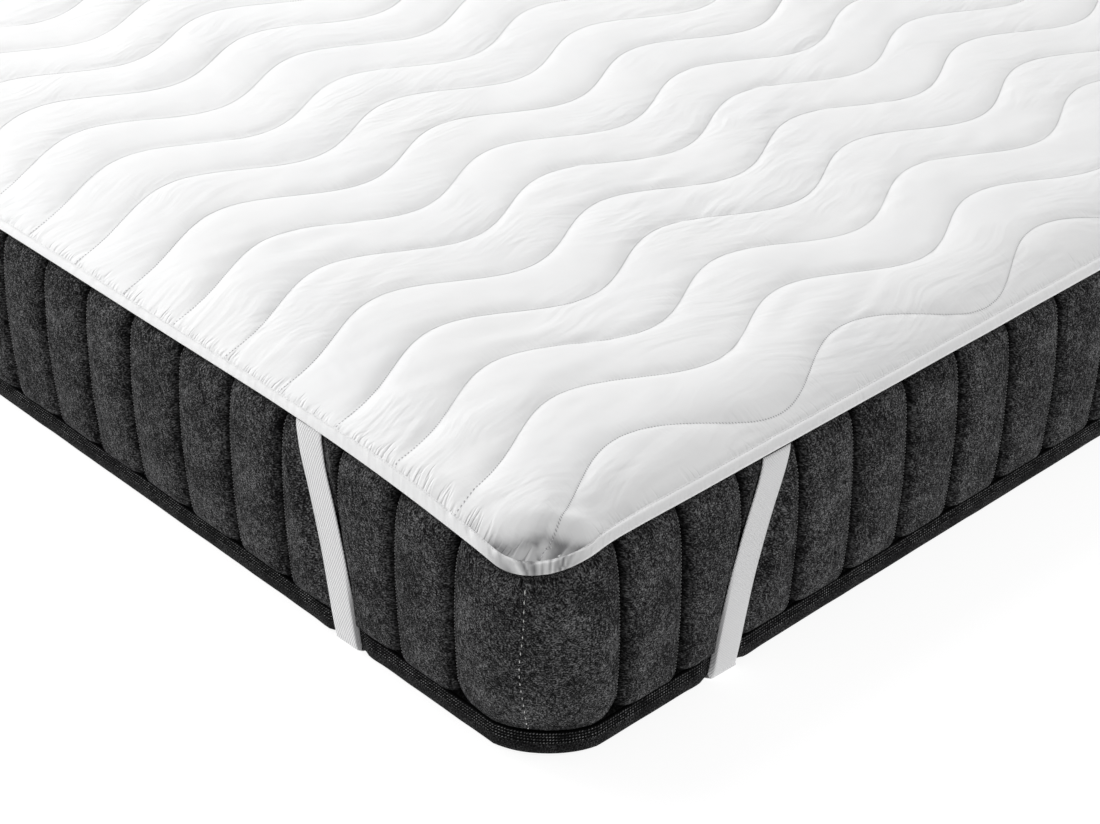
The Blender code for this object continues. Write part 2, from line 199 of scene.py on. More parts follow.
def sewn_line(n, u):
    """Quilting line n on the sewing grid.  The line is not bent by the rounding
    of the corners, so the grid gives way to it there."""
    u = np.asarray(u, float)
    v = wave(n, u)
    reach = R + 0.020
    near = (np.minimum(v, W - v) < reach + 0.01) & (np.minimum(u, L - u) < reach)
    if near.any():
        rows, got = u[near], v[near]
        for _ in range(14):
            x, y = round_corner(np.maximum(got, LINE_TO_EDGE), rows)
            got = got + 0.7 * (wave(n, y + L / 2) - (W / 2 - x))
            got = np.clip(got, LINE_TO_EDGE - 0.004, W - LINE_TO_EDGE + 0.004)
        v = v.copy()
        v[near] = got
    if n < 1:
        soft = 0.0015
        v = LINE_TO_EDGE - 0.002 + soft * np.log1p(np.exp((v - LINE_TO_EDGE + 0.002) / soft))
    return v


# soft troughs and folds of the cloth: (u, v) of each end, half width, depth,
# and how sharply it is cut (2 soft, 1 a crease); a depth below 0 is a ridge
TROUGHS = (
    ((0.425, 0.334), (0.505, 0.329), 0.0085, 0.0018, 2.0),
    ((0.372, 0.210), (0.442, 0.187), 0.0080, 0.0020, 2.0),
    ((0.615, 0.201), (0.680, 0.195), 0.0055, 0.0024, 2.0),
    ((0.575, 0.160), (0.590, 0.158), 0.0110, 0.0024, 2.0),
    ((0.300, 0.032), (0.322, 0.018), 0.0100, 0.0016, 2.0),
    ((0.232, 0.010), (0.247, 0.028), 0.0018, 0.0013, 1.5),
    ((0.418, 0.017), (0.468, 0.029), 0.0022, -0.0010, 1.5),
    ((0.430, 0.013), (0.472, 0.025), 0.0045, 0.0008, 2.0),
    # fold beside the end of the third line
    ((0.020, 0.188), (0.094, 0.206), 0.0048, 0.0046, 1.6),
    ((0.012, 0.176), (0.040, 0.200), 0.0030, 0.0022, 1.5),
    # ends of other lines
    ((0.012, 0.262), (0.052, 0.276), 0.0042, 0.0028, 1.7),
    ((0.012, 0.101), (0.060, 0.128), 0.0040, 0.0022, 1.7),
    ((0.014, 0.338), (0.050, 0.350), 0.0040, 0.0024, 1.7),
    ((0.012, 0.412), (0.048, 0.420), 0.0040, 0.0022, 1.7),
    ((0.010, 0.092), (0.022, 0.078), 0.0016, 0.0014, 1.5),
    # the sunk corner
    ((0.012, 0.020), (0.026, 0.050), 0.0060, 0.0036, 1.8),
    ((0.020, 0.052), (0.040, 0.040), 0.0080, 0.0030, 2.0),
    ((0.012, 0.018), (0.032, 0.028), 0.0026, 0.0020, 1.5),
    ((0.012, 0.030), (0.018, 0.062), 0.0026, 0.0022, 1.5),
    ((0.024, 0.030), (0.040, 0.018), 0.0020, 0.0010, 1.5),
)
# little fans of puckers that pull out of a seam: (u, v), heading, reach
PUCKERS = (
    (0.318, 0.036, 1.25, 0.024), (0.309, 0.111, 1.35, 0.020),
    (0.560, 0.030, 1.30, 0.020), (0.430, 0.172, -1.30, 0.018),
    (0.196, 0.121, 1.20, 0.018), (0.700, 0.255, 1.3, 0.022),
)


def segment(u, v, a, b):
    """Distance from the segment a-b and how far along it, 0..1."""
    du, dv = b[0] - a[0], b[1] - a[1]
    size = du * du + dv * dv
    t = np.clip(((u - a[0]) * du + (v - a[1]) * dv) / size, 0, 1)
    return np.hypot(u - a[0] - t * du, v - a[1] - t * dv), t


def folds(v, u):
    """Height taken off the pad by its folds."""
    cut = np.zeros(np.broadcast(v, u).shape)
    for a, b, wide, deep, power in TROUGHS:
        near = (np.abs(u - (a[0] + b[0]) / 2) < 0.09) & (np.abs(v - (a[1] + b[1]) / 2) < 0.09)
        if not near.any():
            continue
        d, t = segment(u[near], v[near], a, b)
        taper = 0.35 + 0.65 * np.sin(PI * np.clip(t, 0.06, 0.94))
        cut[near] += deep * taper * np.exp(-(d / wide) ** power)
    for pu, pv, heading, reach in PUCKERS:
        for k, turn in enumerate((-0.55, -0.2, 0.15, 0.5)):
            c, s = math.cos(heading + turn), math.sin(heading + turn)
            size = reach * (0.75, 1.0, 0.85, 0.6)[k]
            a, b = (pu + 0.003 * c, pv + 0.003 * s), (pu + size * c, pv + size * s)
            near = (np.abs(u - pu) < 0.04) & (np.abs(v - pv) < 0.04)
            if not near.any():
                continue
            d, t = segment(u[near], v[near], a, b)
            cut[near] += 0.0011 * (1 - t) ** 0.7 * np.exp(-(d / 0.0016) ** 1.6)
    return cut


def corner_patch(v, u, e):
    """The sunk three-cornered patch at the near right corner: how far inside it
    a point lies, its direction from the tip, and where the patch counts."""
    s = v - u
    top = 0.0185 * (1 - np.where(s > 0, s / 0.062, -s / 0.042))
    top = top + 0.0012 * noise(s / 0.020, 1.1, 76)
    turn = np.arctan2(v - 0.004, u - 0.004)
    fade = ((u < 0.15) & (v < 0.15)) * smooth((0.072 - s) / 0.030) * smooth((s + 0.050) / 0.022)
    return top - e, turn, fade


def drawn_out(v, u):
    """How far the seam of the binding is drawn out towards the edge: a little
    more on the short edges, and most near the same corner, where it is rolled
    under."""
    to_side, to_end = np.minimum(v, W - v), np.minimum(u, L - u)
    base = 0.0010 + 0.0016 * smooth((to_side - to_end) / 0.070 + 0.5)
    run = np.where(u <= v, v, 1.5 * u)
    near = (v < W / 2) & (u < L / 2)
    share = near * np.exp(-(np.maximum(run - 0.040, 0) / 0.075) ** 2)
    return base + (0.0044 - base) * share


def draw_out(x, y, far):
    """Moves points towards the outline by the distance far."""
    qx = np.maximum(np.abs(x) - (W / 2 - R), 1e-9)
    qy = np.maximum(np.abs(y) - (L / 2 - R), 1e-9)
    size = np.hypot(qx, qy)
    return x + np.sign(x) * far * qx / size, y + np.sign(y) * far * qy / size


def pad_height(v, u):
    """Thickness of the pad above its underside, over the sewing grid."""
    v, u = np.broadcast_arrays(np.asarray(v, float), np.asarray(u, float))
    lines = np.stack([sewn_line(n, u) for n in range(LINES)], -1)
    k = (v[..., None] >= lines - 1e-7).sum(-1)
    low = np.take_along_axis(lines, np.maximum(k - 1, 0)[..., None], -1)[..., 0]
    high = np.take_along_axis(lines, np.minimum(k, LINES - 1)[..., None], -1)[..., 0]
    low = np.where(k == 0, BINDING, low)
    high = np.where(k == LINES, W - BINDING, high)
    wide = np.maximum(high - low, 1e-4)
    t = np.clip((v - low) / wide, 0, 1)
    full = np.minimum(wide / 0.064, 1.0) ** 1.2
    inward = np.clip(np.minimum(t, 1 - t) * wide / 0.020, 0, 1)
    arch = (0.66 * (1 - (1 - inward) ** 2.5) + 0.34 * (4 * t * (1 - t)) ** 1.1)
    # channels differ a little along their length
    swell = 1 + 0.10 * noise(u / 0.11, k * 3.7, 5) + 0.07 * noise(u / 0.045, k * 1.9 + t, 9)
    # lengthwise unevenness of the filling
    lump = (0.0011 * bump(u / 0.085, v / 0.060, 21, 2)
            + 0.00045 * bump(u / 0.022, v / 0.030, 31, 2)) * arch
    # long shallow creases that run with the channels and cross their bends
    for lean, seed in ((0.13, 37), (-0.22, 45)):
        drawn = smooth(noise(u / 0.140, v / 0.095, seed) * 2.0 - 0.05)
        crease = bump(u / 0.090, (v + lean * u + 0.010 * noise(u / 0.07, v / 0.07, seed + 1)) / 0.0105, seed + 2, 2)
        lump = lump + 0.00080 * drawn * crease * np.minimum(inward * 2.0, 1)
    # the cloth gathers a little at each seam, in patches
    d = np.minimum(t, 1 - t) * wide
    patch = smooth(noise(u / 0.060, k * 5.3 + (t > 0.5) * 0.5, 43) * 1.6 - 0.10)
    ripple = noise(u / 0.0090, k * 2.1, 57) * np.exp(-d / 0.0085) * smooth(d / 0.0015)
    side_ripple = noise(u / 0.011, v / 0.05, 61) * np.exp(-d / 0.016) * smooth(d / 0.003)
    thick = STITCH + (CROWN - STITCH) * full * arch * swell + lump
    thick += patch * 0.00110 * ripple + 0.00045 * side_ripple
    # it thins towards the binding
    x, y = round_corner(v, u)
    e = np.maximum(inset_from_edge(x, y) - BINDING, 0)
    ends = smooth((np.minimum(v, W - v) - np.minimum(u, L - u)) / 0.03 + 0.5)
    body = np.clip(e / (0.040 + 0.022 * ends), 0, 1)
    body = 1 - (1 - body) ** 2.2
    thick = TONGUE_HIGH + (thick - TONGUE_HIGH) * body + 0.0012 * smooth((e + 0.0006) / 0.0030) * (1 - body)
    # puckers along the binding seam
    along = np.where(np.minimum(v, W - v) < np.minimum(u, L - u), u * 1.0 + 7.1, v * 1.0)
    loose = 0.35 + 0.65 * smooth(noise(along / 0.045, 3.3, 71) * 1.5 + 0.4)
    gather = (noise(along / 0.0078, 0.4, 73) + 0.6 * noise(along / 0.0155, 5.4, 74))
    thick += 0.00075 * loose * gather * np.exp(-e / 0.011) * smooth(e / 0.0018)
    # the near right corner: puffed up to a brink, sunk and gathered beyond it
    deep, turn, fade = corner_patch(v, u, e)
    inside = fade * smooth((deep + 0.0015) / 0.0055)
    folds = noise(turn / 0.120, e / 0.018, 77)
    tuck = -np.exp(-(np.abs(noise(turn / 0.140 + e / 0.030, 4.4, 78)) / 0.20) ** 1.3)
    thick = thick + 0.0030 * fade * np.exp(-((deep + 0.0060) / 0.0060) ** 2)
    thick = thick * (1 - inside) + inside * (TONGUE_HIGH - 0.0002 + 0.0007 * folds + 0.0016 * tuck
                                             + 0.0010 * smooth(e / 0.006))
    # sharp little tucks of the end edge beside it, fewer further on
    heavy = (np.exp(-((v - 0.070) / 0.050) ** 2) + 0.35 * smooth(noise(v / 0.045, 9.1, 72) * 2)) * (u < 0.1)
    crease = -np.exp(-(np.abs(noise(v / 0.0090 + u / 0.018, 0.7, 79)) / 0.20) ** 1.2)
    reach = 0.0045 + 0.0035 * noise(v / 0.020, 6.6, 80)
    thick += 0.0018 * heavy * crease * np.exp(-(e / reach) ** 1.5) * smooth(e / 0.0012)
    thick = np.maximum(thick, 0.0012)
    return TONGUE_HIGH + (thick - TONGUE_HIGH) * smooth((e - 0.0003) / 0.0032)


def painted_tuck_shade(v, u):
    """How far down in a tuck the cloth lies, 0..1; the pad's colour is darkened by it there as painted shade."""
    x, y = round_corner(v, u)
    e = np.maximum(inset_from_edge(x, y) - BINDING, 0)
    deep, turn, fade = corner_patch(v, u, e)
    tuck = np.exp(-(np.abs(noise(turn / 0.140 + e / 0.030, 4.4, 78)) / 0.26) ** 1.3)
    sunk = fade * smooth((deep + 0.001) / 0.0065)
    brink = np.exp(-((deep - 0.0045) / 0.0030) ** 2)
    heavy = np.exp(-((v - 0.070) / 0.050) ** 2) * (u < 0.1)
    crease = np.exp(-(np.abs(noise(v / 0.0090 + u / 0.018, 0.7, 79)) / 0.22) ** 1.2)
    reach = 0.0045 + 0.0035 * noise(v / 0.020, 6.6, 80)
    beside = heavy * crease * np.exp(-(e / reach) ** 1.5)
    return np.clip(sunk * (0.46 + 0.30 * brink + 0.55 * tuck) + 0.60 * beside, 0, 1)


def pad_point(v, u):
    v, u = np.broadcast_arrays(np.asarray(v, float), np.asarray(u, float))
    x, y = round_corner(v, u)
    e = np.maximum(inset_from_edge(x, y) - BINDING, 0)
    x, y = draw_out(x, y, drawn_out(v, u) * np.exp(-(np.maximum(e, 0) / 0.018) ** 2))
    return np.stack([x, y, underside(x, y) + pad_height(v, u)], -1)


def pad_rows():
    near = np.concatenate([np.arange(0.0160, 0.0900, 0.0021), np.arange(0.0905, 0.90, 0.0038)])
    far = np.linspace(near[-1], L - 0.0165, 112)[1:]
    start = np.array([BINDING, 0.01003, 0.0104, 0.0112, 0.0125, 0.0142])
    return np.concatenate([start, near, far, L - start[::-1]])


def pad_columns(u):
    """(columns of v, the line each strip is measured from) at every row."""
    lines = [sewn_line(n, u) for n in range(LINES)]
    cols, strip = [], []

    def span(a, b, count, first, second):
        for k in range(count):
            t = (1 - math.cos(PI * k / count)) / 2
            t = 0.72 * t + 0.28 * k / count
            cols.append(a + (b - a) * t)
            strip.append(first if k < count / 2 else second)

    span(np.full_like(u, BINDING), lines[0], 18, 0, 0)
    for n in range(LINES - 1):
        span(lines[n], lines[n + 1], 20 if n == 0 else 14 if n < 8 else 8, n, n + 1)
    span(lines[-1], np.full_like(u, W - BINDING), 10, LINES - 1, LINES - 1)
    cols.append(np.full_like(u, W - BINDING))
    return np.stack(cols, 1), strip


def build_pad(mat):
    u = pad_rows()
    v, strip = pad_columns(u)
    nr, nc = v.shape
    U = np.repeat(u[:, None], nc, 1)
    top = pad_point(v, U).reshape(-1, 3)
    idx = np.arange(nr * nc).reshape(nr, nc)
    quads = np.stack([idx[:-1, :-1], idx[:-1, 1:], idx[1:, 1:], idx[1:, :-1]], -1)
    # sewing coordinates: run along the nearest line and distance from it
    uv = np.zeros((nr - 1, nc - 1, 4, 2))
    for n in range(LINES):
        here = [i for i in range(nc - 1) if strip[i] == n]
        line = sewn_line(n, u)
        run = np.concatenate([[0], np.cumsum(np.hypot(np.diff(u), np.diff(line)))])
        lean = np.gradient(line, u)
        dist = (v - line[:, None]) / np.sqrt(1 + lean[:, None] ** 2)
        i = np.array(here)
        for c, (dj, di) in enumerate(((0, 0), (0, 1), (1, 1), (1, 0))):
            rows = np.arange(nr - 1) + dj
            uv[:, here, c, 0] = run[rows][:, None] + 0.0007 * n
            uv[:, here, c, 1] = dist[np.ix_(rows, i + di)]
    border = ([(0, i) for i in range(nc - 1)] + [(j, nc - 1) for j in range(nr - 1)]
              + [(nr - 1, i) for i in range(nc - 1, 0, -1)] + [(j, 0) for j in range(nr - 1, 0, -1)])
    bj, bi = np.array(border).T
    bv, bu = v[bj, bi], u[bj]
    loops = []
    for level, lift, flat in ((0.0017, TONGUE_HIGH, False), (0.0017, TONGUE_LOW, False),
                              (BINDING, TONGUE_LOW, False), (0.026, 0.0, False),
                              (DROP_WIDTH, 0.0, True)):
        x, y = level_point(bv, bu, level)
        z = np.full_like(x, TOP) if flat else underside(x, y) + lift
        loops.append(np.stack([x, y, z], 1))
    n = len(border)
    points = np.concatenate([top] + loops + [np.array([[0, 0, TOP]])])
    faces = [list(q) for q in quads.reshape(-1, 4)]
    starts = [len(top) + k * n for k in range(len(loops))]
    outer = idx[bj, bi]
    k = np.arange(n)
    j = (k + 1) % n
    rim = np.stack([outer[k], outer[j], starts[0] + j, starts[0] + k], 1)
    faces += [list(q) for q in rim]
    for a, b in zip(starts, starts[1:]):
        faces += [list(q) for q in ring_faces(a, b, n)]
    hub = len(points) - 1
    faces += [[starts[-1] + a, starts[-1] + b, hub] for a, b in zip(k, j)]
    far = np.zeros((sum(len(f) for f in faces) - quads.size, 2))
    # painted shade: the tucks of the sunk corner, its brink and the creases beside the end edge darken the pad's
    # colour through the tuck layer
    shade = painted_tuck_shade(v, U).ravel()[quads.reshape(-1)]
    shade = np.concatenate([np.stack([shade, shade], 1), far])
    far = far.copy()
    far[:, 1] = 0.03
    uvs = {"sewing": np.concatenate([uv.reshape(-1, 2), far]), "tuck": shade}
    return mesh_object("quilt", points, faces, mat, uvs)


# ------------------------------------------------------------ stitches
def stitch_mesh(name, centre, heading, up, length, wide, high, mat):
    """One small lozenge of thread at each centre, all in one mesh."""
    heading = heading / np.linalg.norm(heading, axis=1, keepdims=True)
    side = np.cross(up, heading)
    side /= np.linalg.norm(side, axis=1, keepdims=True)
    up = np.cross(heading, side)
    p = np.stack([centre - heading * length / 2, centre + side * wide / 2,
                  centre + heading * length / 2, centre - side * wide / 2,
                  centre + up * high, centre - up * high * 0.7], 1)
    n = len(centre)
    base = (np.arange(n) * 6)[:, None, None]
    tris = np.array([[0, 1, 4], [1, 2, 4], [2, 3, 4], [3, 0, 4],
                     [1, 0, 5], [2, 1, 5], [3, 2, 5], [0, 3, 5]])
    faces = (base + tris[None]).reshape(-1, 3)
    ob = mesh_object(name, p.reshape(-1, 3), faces, mat, recalc=False)
    return ob


def build_quilt_stitches(mat):
    centres, headings, ups = [], [], []
    for n in range(LINES):
        u = np.arange(BINDING + 0.001, L - BINDING - 0.001, 0.0005)
        v = sewn_line(n, u)
        keep = (v > BINDING + 0.001) & (v < W - BINDING - 0.001)
        u, v = u[keep], v[keep]
        run = np.concatenate([[0], np.cumsum(np.hypot(np.diff(u), np.diff(v)))])
        at = np.arange(0.6, run[-1] / STITCH_PITCH - 0.4) * STITCH_PITCH
        su = np.interp(at, run, u)
        sv = sewn_line(n, su)
        here = pad_point(sv, su)
        ahead = pad_point(sewn_line(n, su + 0.0012), su + 0.0012)
        centres.append(here + np.array([0, 0, 0.00012]))
        headings.append(ahead - here)
        ups.append(np.repeat([[0.0, 0.0, 1.0]], len(su), 0))
    return stitch_mesh("quilting_thread", np.concatenate(centres), np.concatenate(headings),
                       np.concatenate(ups), 0.0019, 0.00050, 0.00028, mat)


# ------------------------------------------------------------ binding
def border_walk(near, far):
    """Points (v, u) of the sewing-grid border once round, closer together near
    the front right corner."""
    low_v, high_v, low_u, high_u = BINDING, W - BINDING, BINDING, L - BINDING

    def run(length, dense_first, dense_last):
        out, s = [], 0.0
        while s < length - 1e-9:
            out.append(s)
            close = (dense_first and s < 0.75) or (dense_last and length - s < 0.75)
            s += near if close else far
        return np.array(out) * (length / s)
    front = run(high_v - low_v, True, False)
    left = run(high_u - low_u, False, False)
    back = run(high_v - low_v, False, False)
    right = run(high_u - low_u, False, True)
    v = np.concatenate([low_v + front, np.full(len(left), high_v), high_v - back,
                        np.full(len(right), low_v)])
    u = np.concatenate([np.full(len(front), low_u), low_u + left,
                        np.full(len(back), high_u), high_u - right])
    return v, u


def binding_height(v, u, share):
    """Extra height of the top face of the binding; share 0 fold, 1 inner edge."""
    on_end = np.minimum(u, L - u) <= np.minimum(v, W - v)
    along = np.where(on_end, v + 3.1 * (u > L / 2), u + 7.1 + 2.3 * (v > W / 2))
    to_corner = np.where(on_end, np.minimum(v, W - v), np.minimum(u, L - u))
    loose = 0.30 + 0.70 * smooth(noise(along / 0.050, 8.3, 81) * 1.4 + 0.25)
    near = (v < W / 2) & (u < L / 2)
    loose = loose * np.where(on_end, 0.8, 0.55) + 1.9 * np.exp(-((to_corner - 0.055) / 0.045) ** 2) * on_end
    ripple = noise(along / 0.0060 + share * 0.5, share * 0.6, 83)
    ripple = ripple + 0.7 * noise(along / 0.0100 - share * 0.6, share * 0.4, 85)
    puff = 0.0005 * np.sin(PI * np.clip(share, 0, 1) ** 0.8)
    pull = np.exp(-((share - 0.84) / 0.11) ** 2)
    thin = 0.0012 * smooth((share - 0.30) / 0.70)
    over = 0.0013 * (1 - np.clip(share, 0, 1)) ** 2
    # it stands up at the sunk corner and is drawn into tucks
    tip = near * np.exp(-(np.maximum(to_corner - 0.018, 0) / 0.030) ** 2)
    puff = puff + tip * np.sin(PI * np.clip(share, 0, 1)) * (0.0006 + 0.0017 * noise(along / 0.0065 + share, 2.7, 87))
    return (puff - thin - over - 0.0003 * pull
            + 0.00060 * loose * ripple * np.sin(PI * np.clip(share * 0.9 + 0.05, 0, 1)))


def build_binding(mat):
    v, u = border_walk(0.0022, 0.0060)
    n = len(v)
    lip = BINDING - GAP
    lap = BINDING + 0.0005
    # (inset, lift, share across the top face or None)
    section = [(lip, 0.0, None), (0.0045, -0.0002, None), (0.0013, 0.0001, None),
               (0.0003, FOLD * 0.22, None), (0.0000, FOLD * 0.42, None),
               (0.0005, FOLD * 0.62, None)]
    for share in (0, 0.12, 0.25, 0.38, 0.50, 0.62, 0.74, 0.84, 0.93, 1.0):
        section.append((0.0014 + (lap - 0.0001 - 0.0014) * share, FOLD, share))
    section += [(lap, FOLD - WALL - 0.00012, None), (lap - 0.0004, FOLD - WALL - 0.00018, None),
                (0.0050, FOLD - WALL, None), (0.0014, FOLD - WALL, None),
                (0.0014, WALL, None), (0.0050, WALL, None), (lip, WALL, None)]
    loops = []
    for inset, lift, share in section:
        x, y = level_point(v, u, inset)
        if inset > 0.0013 and lift > FOLD * 0.6:
            x, y = draw_out(x, y, drawn_out(v, u) * (inset - 0.0014) / (lap - 0.0014))
        z = underside(x, y) + lift
        if share is not None:
            z = z + binding_height(v, u, share)
        sway = 0.0003 * noise(np.arange(n) / 26.0, 1.5, 91)
        loops.append(np.stack([x, y, z + sway], 1))
    m = len(section)
    points = np.concatenate(loops)
    faces, uv = [], []
    ring = np.stack(loops[4], 0)
    step = np.linalg.norm(np.diff(np.concatenate([ring, ring[:1]]), axis=0), axis=1)
    run = np.concatenate([[0], np.cumsum(step)])
    sec = np.array([(a, b) for a, b, _ in section])
    width = np.concatenate([[0], np.cumsum(np.hypot(*np.diff(np.concatenate([sec, sec[:1]]), axis=0).T))])
    for k in range(m):
        q = ring_faces(k * n, ((k + 1) % m) * n, n)
        faces.append(q)
        t = np.empty((n, 4, 2))
        t[:, 0] = np.stack([run[:-1], np.full(n, width[k])], 1)
        t[:, 1] = np.stack([run[1:], np.full(n, width[k])], 1)
        t[:, 2] = np.stack([run[1:], np.full(n, width[k + 1])], 1)
        t[:, 3] = np.stack([run[:-1], np.full(n, width[k + 1])], 1)
        uv.append(t.reshape(-1, 2))
    # it is gathered round the sunk corner, where painted shade darkens its colour
    px, py = (c.reshape(m, n) for c in (points[:, 0], points[:, 1]))
    bv, bu = W / 2 - px, py + L / 2
    q = bv - bu
    tip = (bu < 0.15) & (bv < 0.15)
    tip = tip * smooth((0.080 - q) / 0.050) * smooth((q + 0.050) / 0.040)
    turn = np.arctan2(bv - 0.004, bu - 0.004)
    depth = (0.42 + 0.70 * noise(turn / 0.060, 0.3, 78) + 0.40 * noise(turn / 0.19, 7.7, 88))
    depth = np.clip(tip * depth, 0, 1).ravel()
    shade = np.concatenate([depth[f.ravel()] for f in faces])
    ob = mesh_object("binding", points, np.concatenate(faces), mat,
                     {"cloth": np.concatenate(uv), "tuck": np.stack([shade, shade], 1)})
    return ob, run[-1]


def build_binding_stitches(mat):
    v, u = border_walk(0.0010, 0.0010)
    share = 0.86
    inset = 0.0014 + (BINDING + 0.0004 - 0.0014) * share
    x, y = level_point(v, u, inset)
    x, y = draw_out(x, y, drawn_out(v, u) * share)
    z = underside(x, y) + FOLD + binding_height(v, u, share)
    p = np.stack([x, y, z], 1)
    p = np.concatenate([p, p[:1]])
    run = np.concatenate([[0], np.cumsum(np.linalg.norm(np.diff(p, axis=0), axis=1))])
    at = np.arange(0.5, run[-1] / 0.0029) * 0.0029
    at = at[at < run[-1] - 0.002]
    here = np.stack([np.interp(at, run, p[:, k]) for k in range(3)], 1)
    ahead = np.stack([np.interp(at + 0.001, run, p[:, k]) for k in range(3)], 1)
    up = np.repeat([[0.0, 0.0, 1.0]], len(at), 0)
    return stitch_mesh("binding_thread", here + up * 0.0001, ahead - here, up,
                       0.0021, 0.00050, 0.00030, mat)


# ------------------------------------------------------------ outline of the mattress
SIDES = (W - 2 * R, L - 2 * R, W - 2 * R, L - 2 * R)
ARC = PI * R / 2
STARTS = np.concatenate([[0], np.cumsum([SIDES[0], ARC, SIDES[1], ARC, SIDES[2], ARC, SIDES[3], ARC])])
AROUND = float(STARTS[-1])
WALKS = (
    ((W / 2 - R, -L / 2), (-1, 0), (0, -1)), ((-W / 2 + R, -L / 2 + R), -90),
    ((-W / 2, -L / 2 + R), (0, 1), (-1, 0)), ((-W / 2 + R, L / 2 - R), 180),
    ((-W / 2 + R, L / 2), (1, 0), (0, 1)), ((W / 2 - R, L / 2 - R), 90),
    ((W / 2, L / 2 - R), (0, -1), (1, 0)), ((W / 2 - R, -L / 2 + R), 0),
)


def outline(s):
    """Point and outward direction at run s round the mattress."""
    s = np.mod(np.asarray(s, float), AROUND)
    seg = np.clip(np.searchsorted(STARTS, s, side="right") - 1, 0, 7)
    x, y = np.zeros_like(s), np.zeros_like(s)
    nx, ny = np.zeros_like(s), np.zeros_like(s)
    for k, walk in enumerate(WALKS):
        m = seg == k
        t = s[m] - STARTS[k]
        if len(walk) == 3:
            (ax, ay), (dx, dy), (ox, oy) = walk
            x[m], y[m] = ax + dx * t, ay + dy * t
            nx[m], ny[m] = ox, oy
        else:
            (ax, ay), start = walk
            angle = math.radians(start) - t / R
            nx[m], ny[m] = np.cos(angle), np.sin(angle)
            x[m], y[m] = ax + R * nx[m], ay + R * ny[m]
    return x, y, nx, ny


def seams():
    """Run of every vertical seam, not counting the four dashed corner seams."""
    def spread(first, last, count, pitch):
        """Pitch as given near both ends, evened out in the middle."""
        k = np.arange(count + 1)
        even = first + (last - first) * k / count
        gap = pitch - (last - first) / count
        shift = gap * np.minimum(np.minimum(k, count - k), 6) * np.where(k <= count / 2, 1, -1)
        middle = np.clip((np.minimum(k, count - k) - 6) / (count / 2 - 6), 0, 1)
        return even + shift * (1 - middle)
    end = spread(0.095, W - 0.095, 18, 0.0688)
    long = spread(0.075, L - 0.075, 28, 0.0652)
    out = []
    out += list(end - R + STARTS[0])                   # front, v rises
    out += list(long - R + STARTS[2])                  # left, u rises
    out += list(end - R + STARTS[4])                   # back
    out += list(long - R + STARTS[6])                  # right, u falls
    out = np.unique(np.round(np.mod(np.array(out), AROUND), 6))
    return np.sort(out)


SEAMS = seams()
BAND_COURSE = (
    # out       up      share of the slant
    (-0.0012, -0.0008, -0.065), (0.0003, -0.0050, -0.03), (0.0014, -0.0110, 0.02),
    (0.0026, 0.1600, 0.13), (0.0038, 0.1280, 0.385), (0.0047, 0.0840, 0.665),
    (0.0051, 0.0490, 0.83), (0.0050, 0.0200, 0.94), (0.0047, 0.0080, 0.98),
    (0.0038, 0.0030, 1.00),
)
# the first three rows are measured from the underside of the pad's edge
BAND_TOPS = (TOP - END_DROP, TOP - SIDE_DROP)


def band_course(on_side):
    top = BAND_TOPS[on_side]
    return [(o, up + top if k < 3 else up, sl) for k, (o, up, sl) in enumerate(BAND_COURSE)]


def band_at(z, nx):
    """Stand-out and slant of the bands at height z, on a face that looks along nx."""
    found = []
    for on_side in (0, 1):
        course = np.array(band_course(on_side))[::-1]
        found.append((np.interp(z, course[:, 1], course[:, 0]),
                      np.interp(z, course[:, 1], course[:, 2])))
    side = np.abs(nx) > 0.5
    return np.where(side, found[1][0], found[0][0]), np.where(side, found[1][1], found[0][1])


def band_distance(x, y, nx, ny, z):
    """Distance along the edge from the nearest band's middle line."""
    _, slant = band_at(z, nx)
    end = BAND_END_TOP + (BAND_END_LOW - BAND_END_TOP) * slant
    side = BAND_SIDE_TOP + (BAND_SIDE_LOW - BAND_SIDE_TOP) * slant
    on_end = np.abs(ny) > 0.999
    on_side = np.abs(nx) > 0.999
    d_end = np.abs((W / 2 - np.abs(x)) - end)
    d_side = np.abs((L / 2 - np.abs(y)) - side)
    return np.where(on_end, d_end, np.where(on_side, d_side, 1.0))


SIDE_LOW = 0.0228


def tuck_in(nx, ny, z):
    """The corners are rounder at the foot of the mattress than at its top."""
    return 0.0060 * 2 * np.abs(nx * ny) * (1 - smooth((z - 0.02) / 0.085))


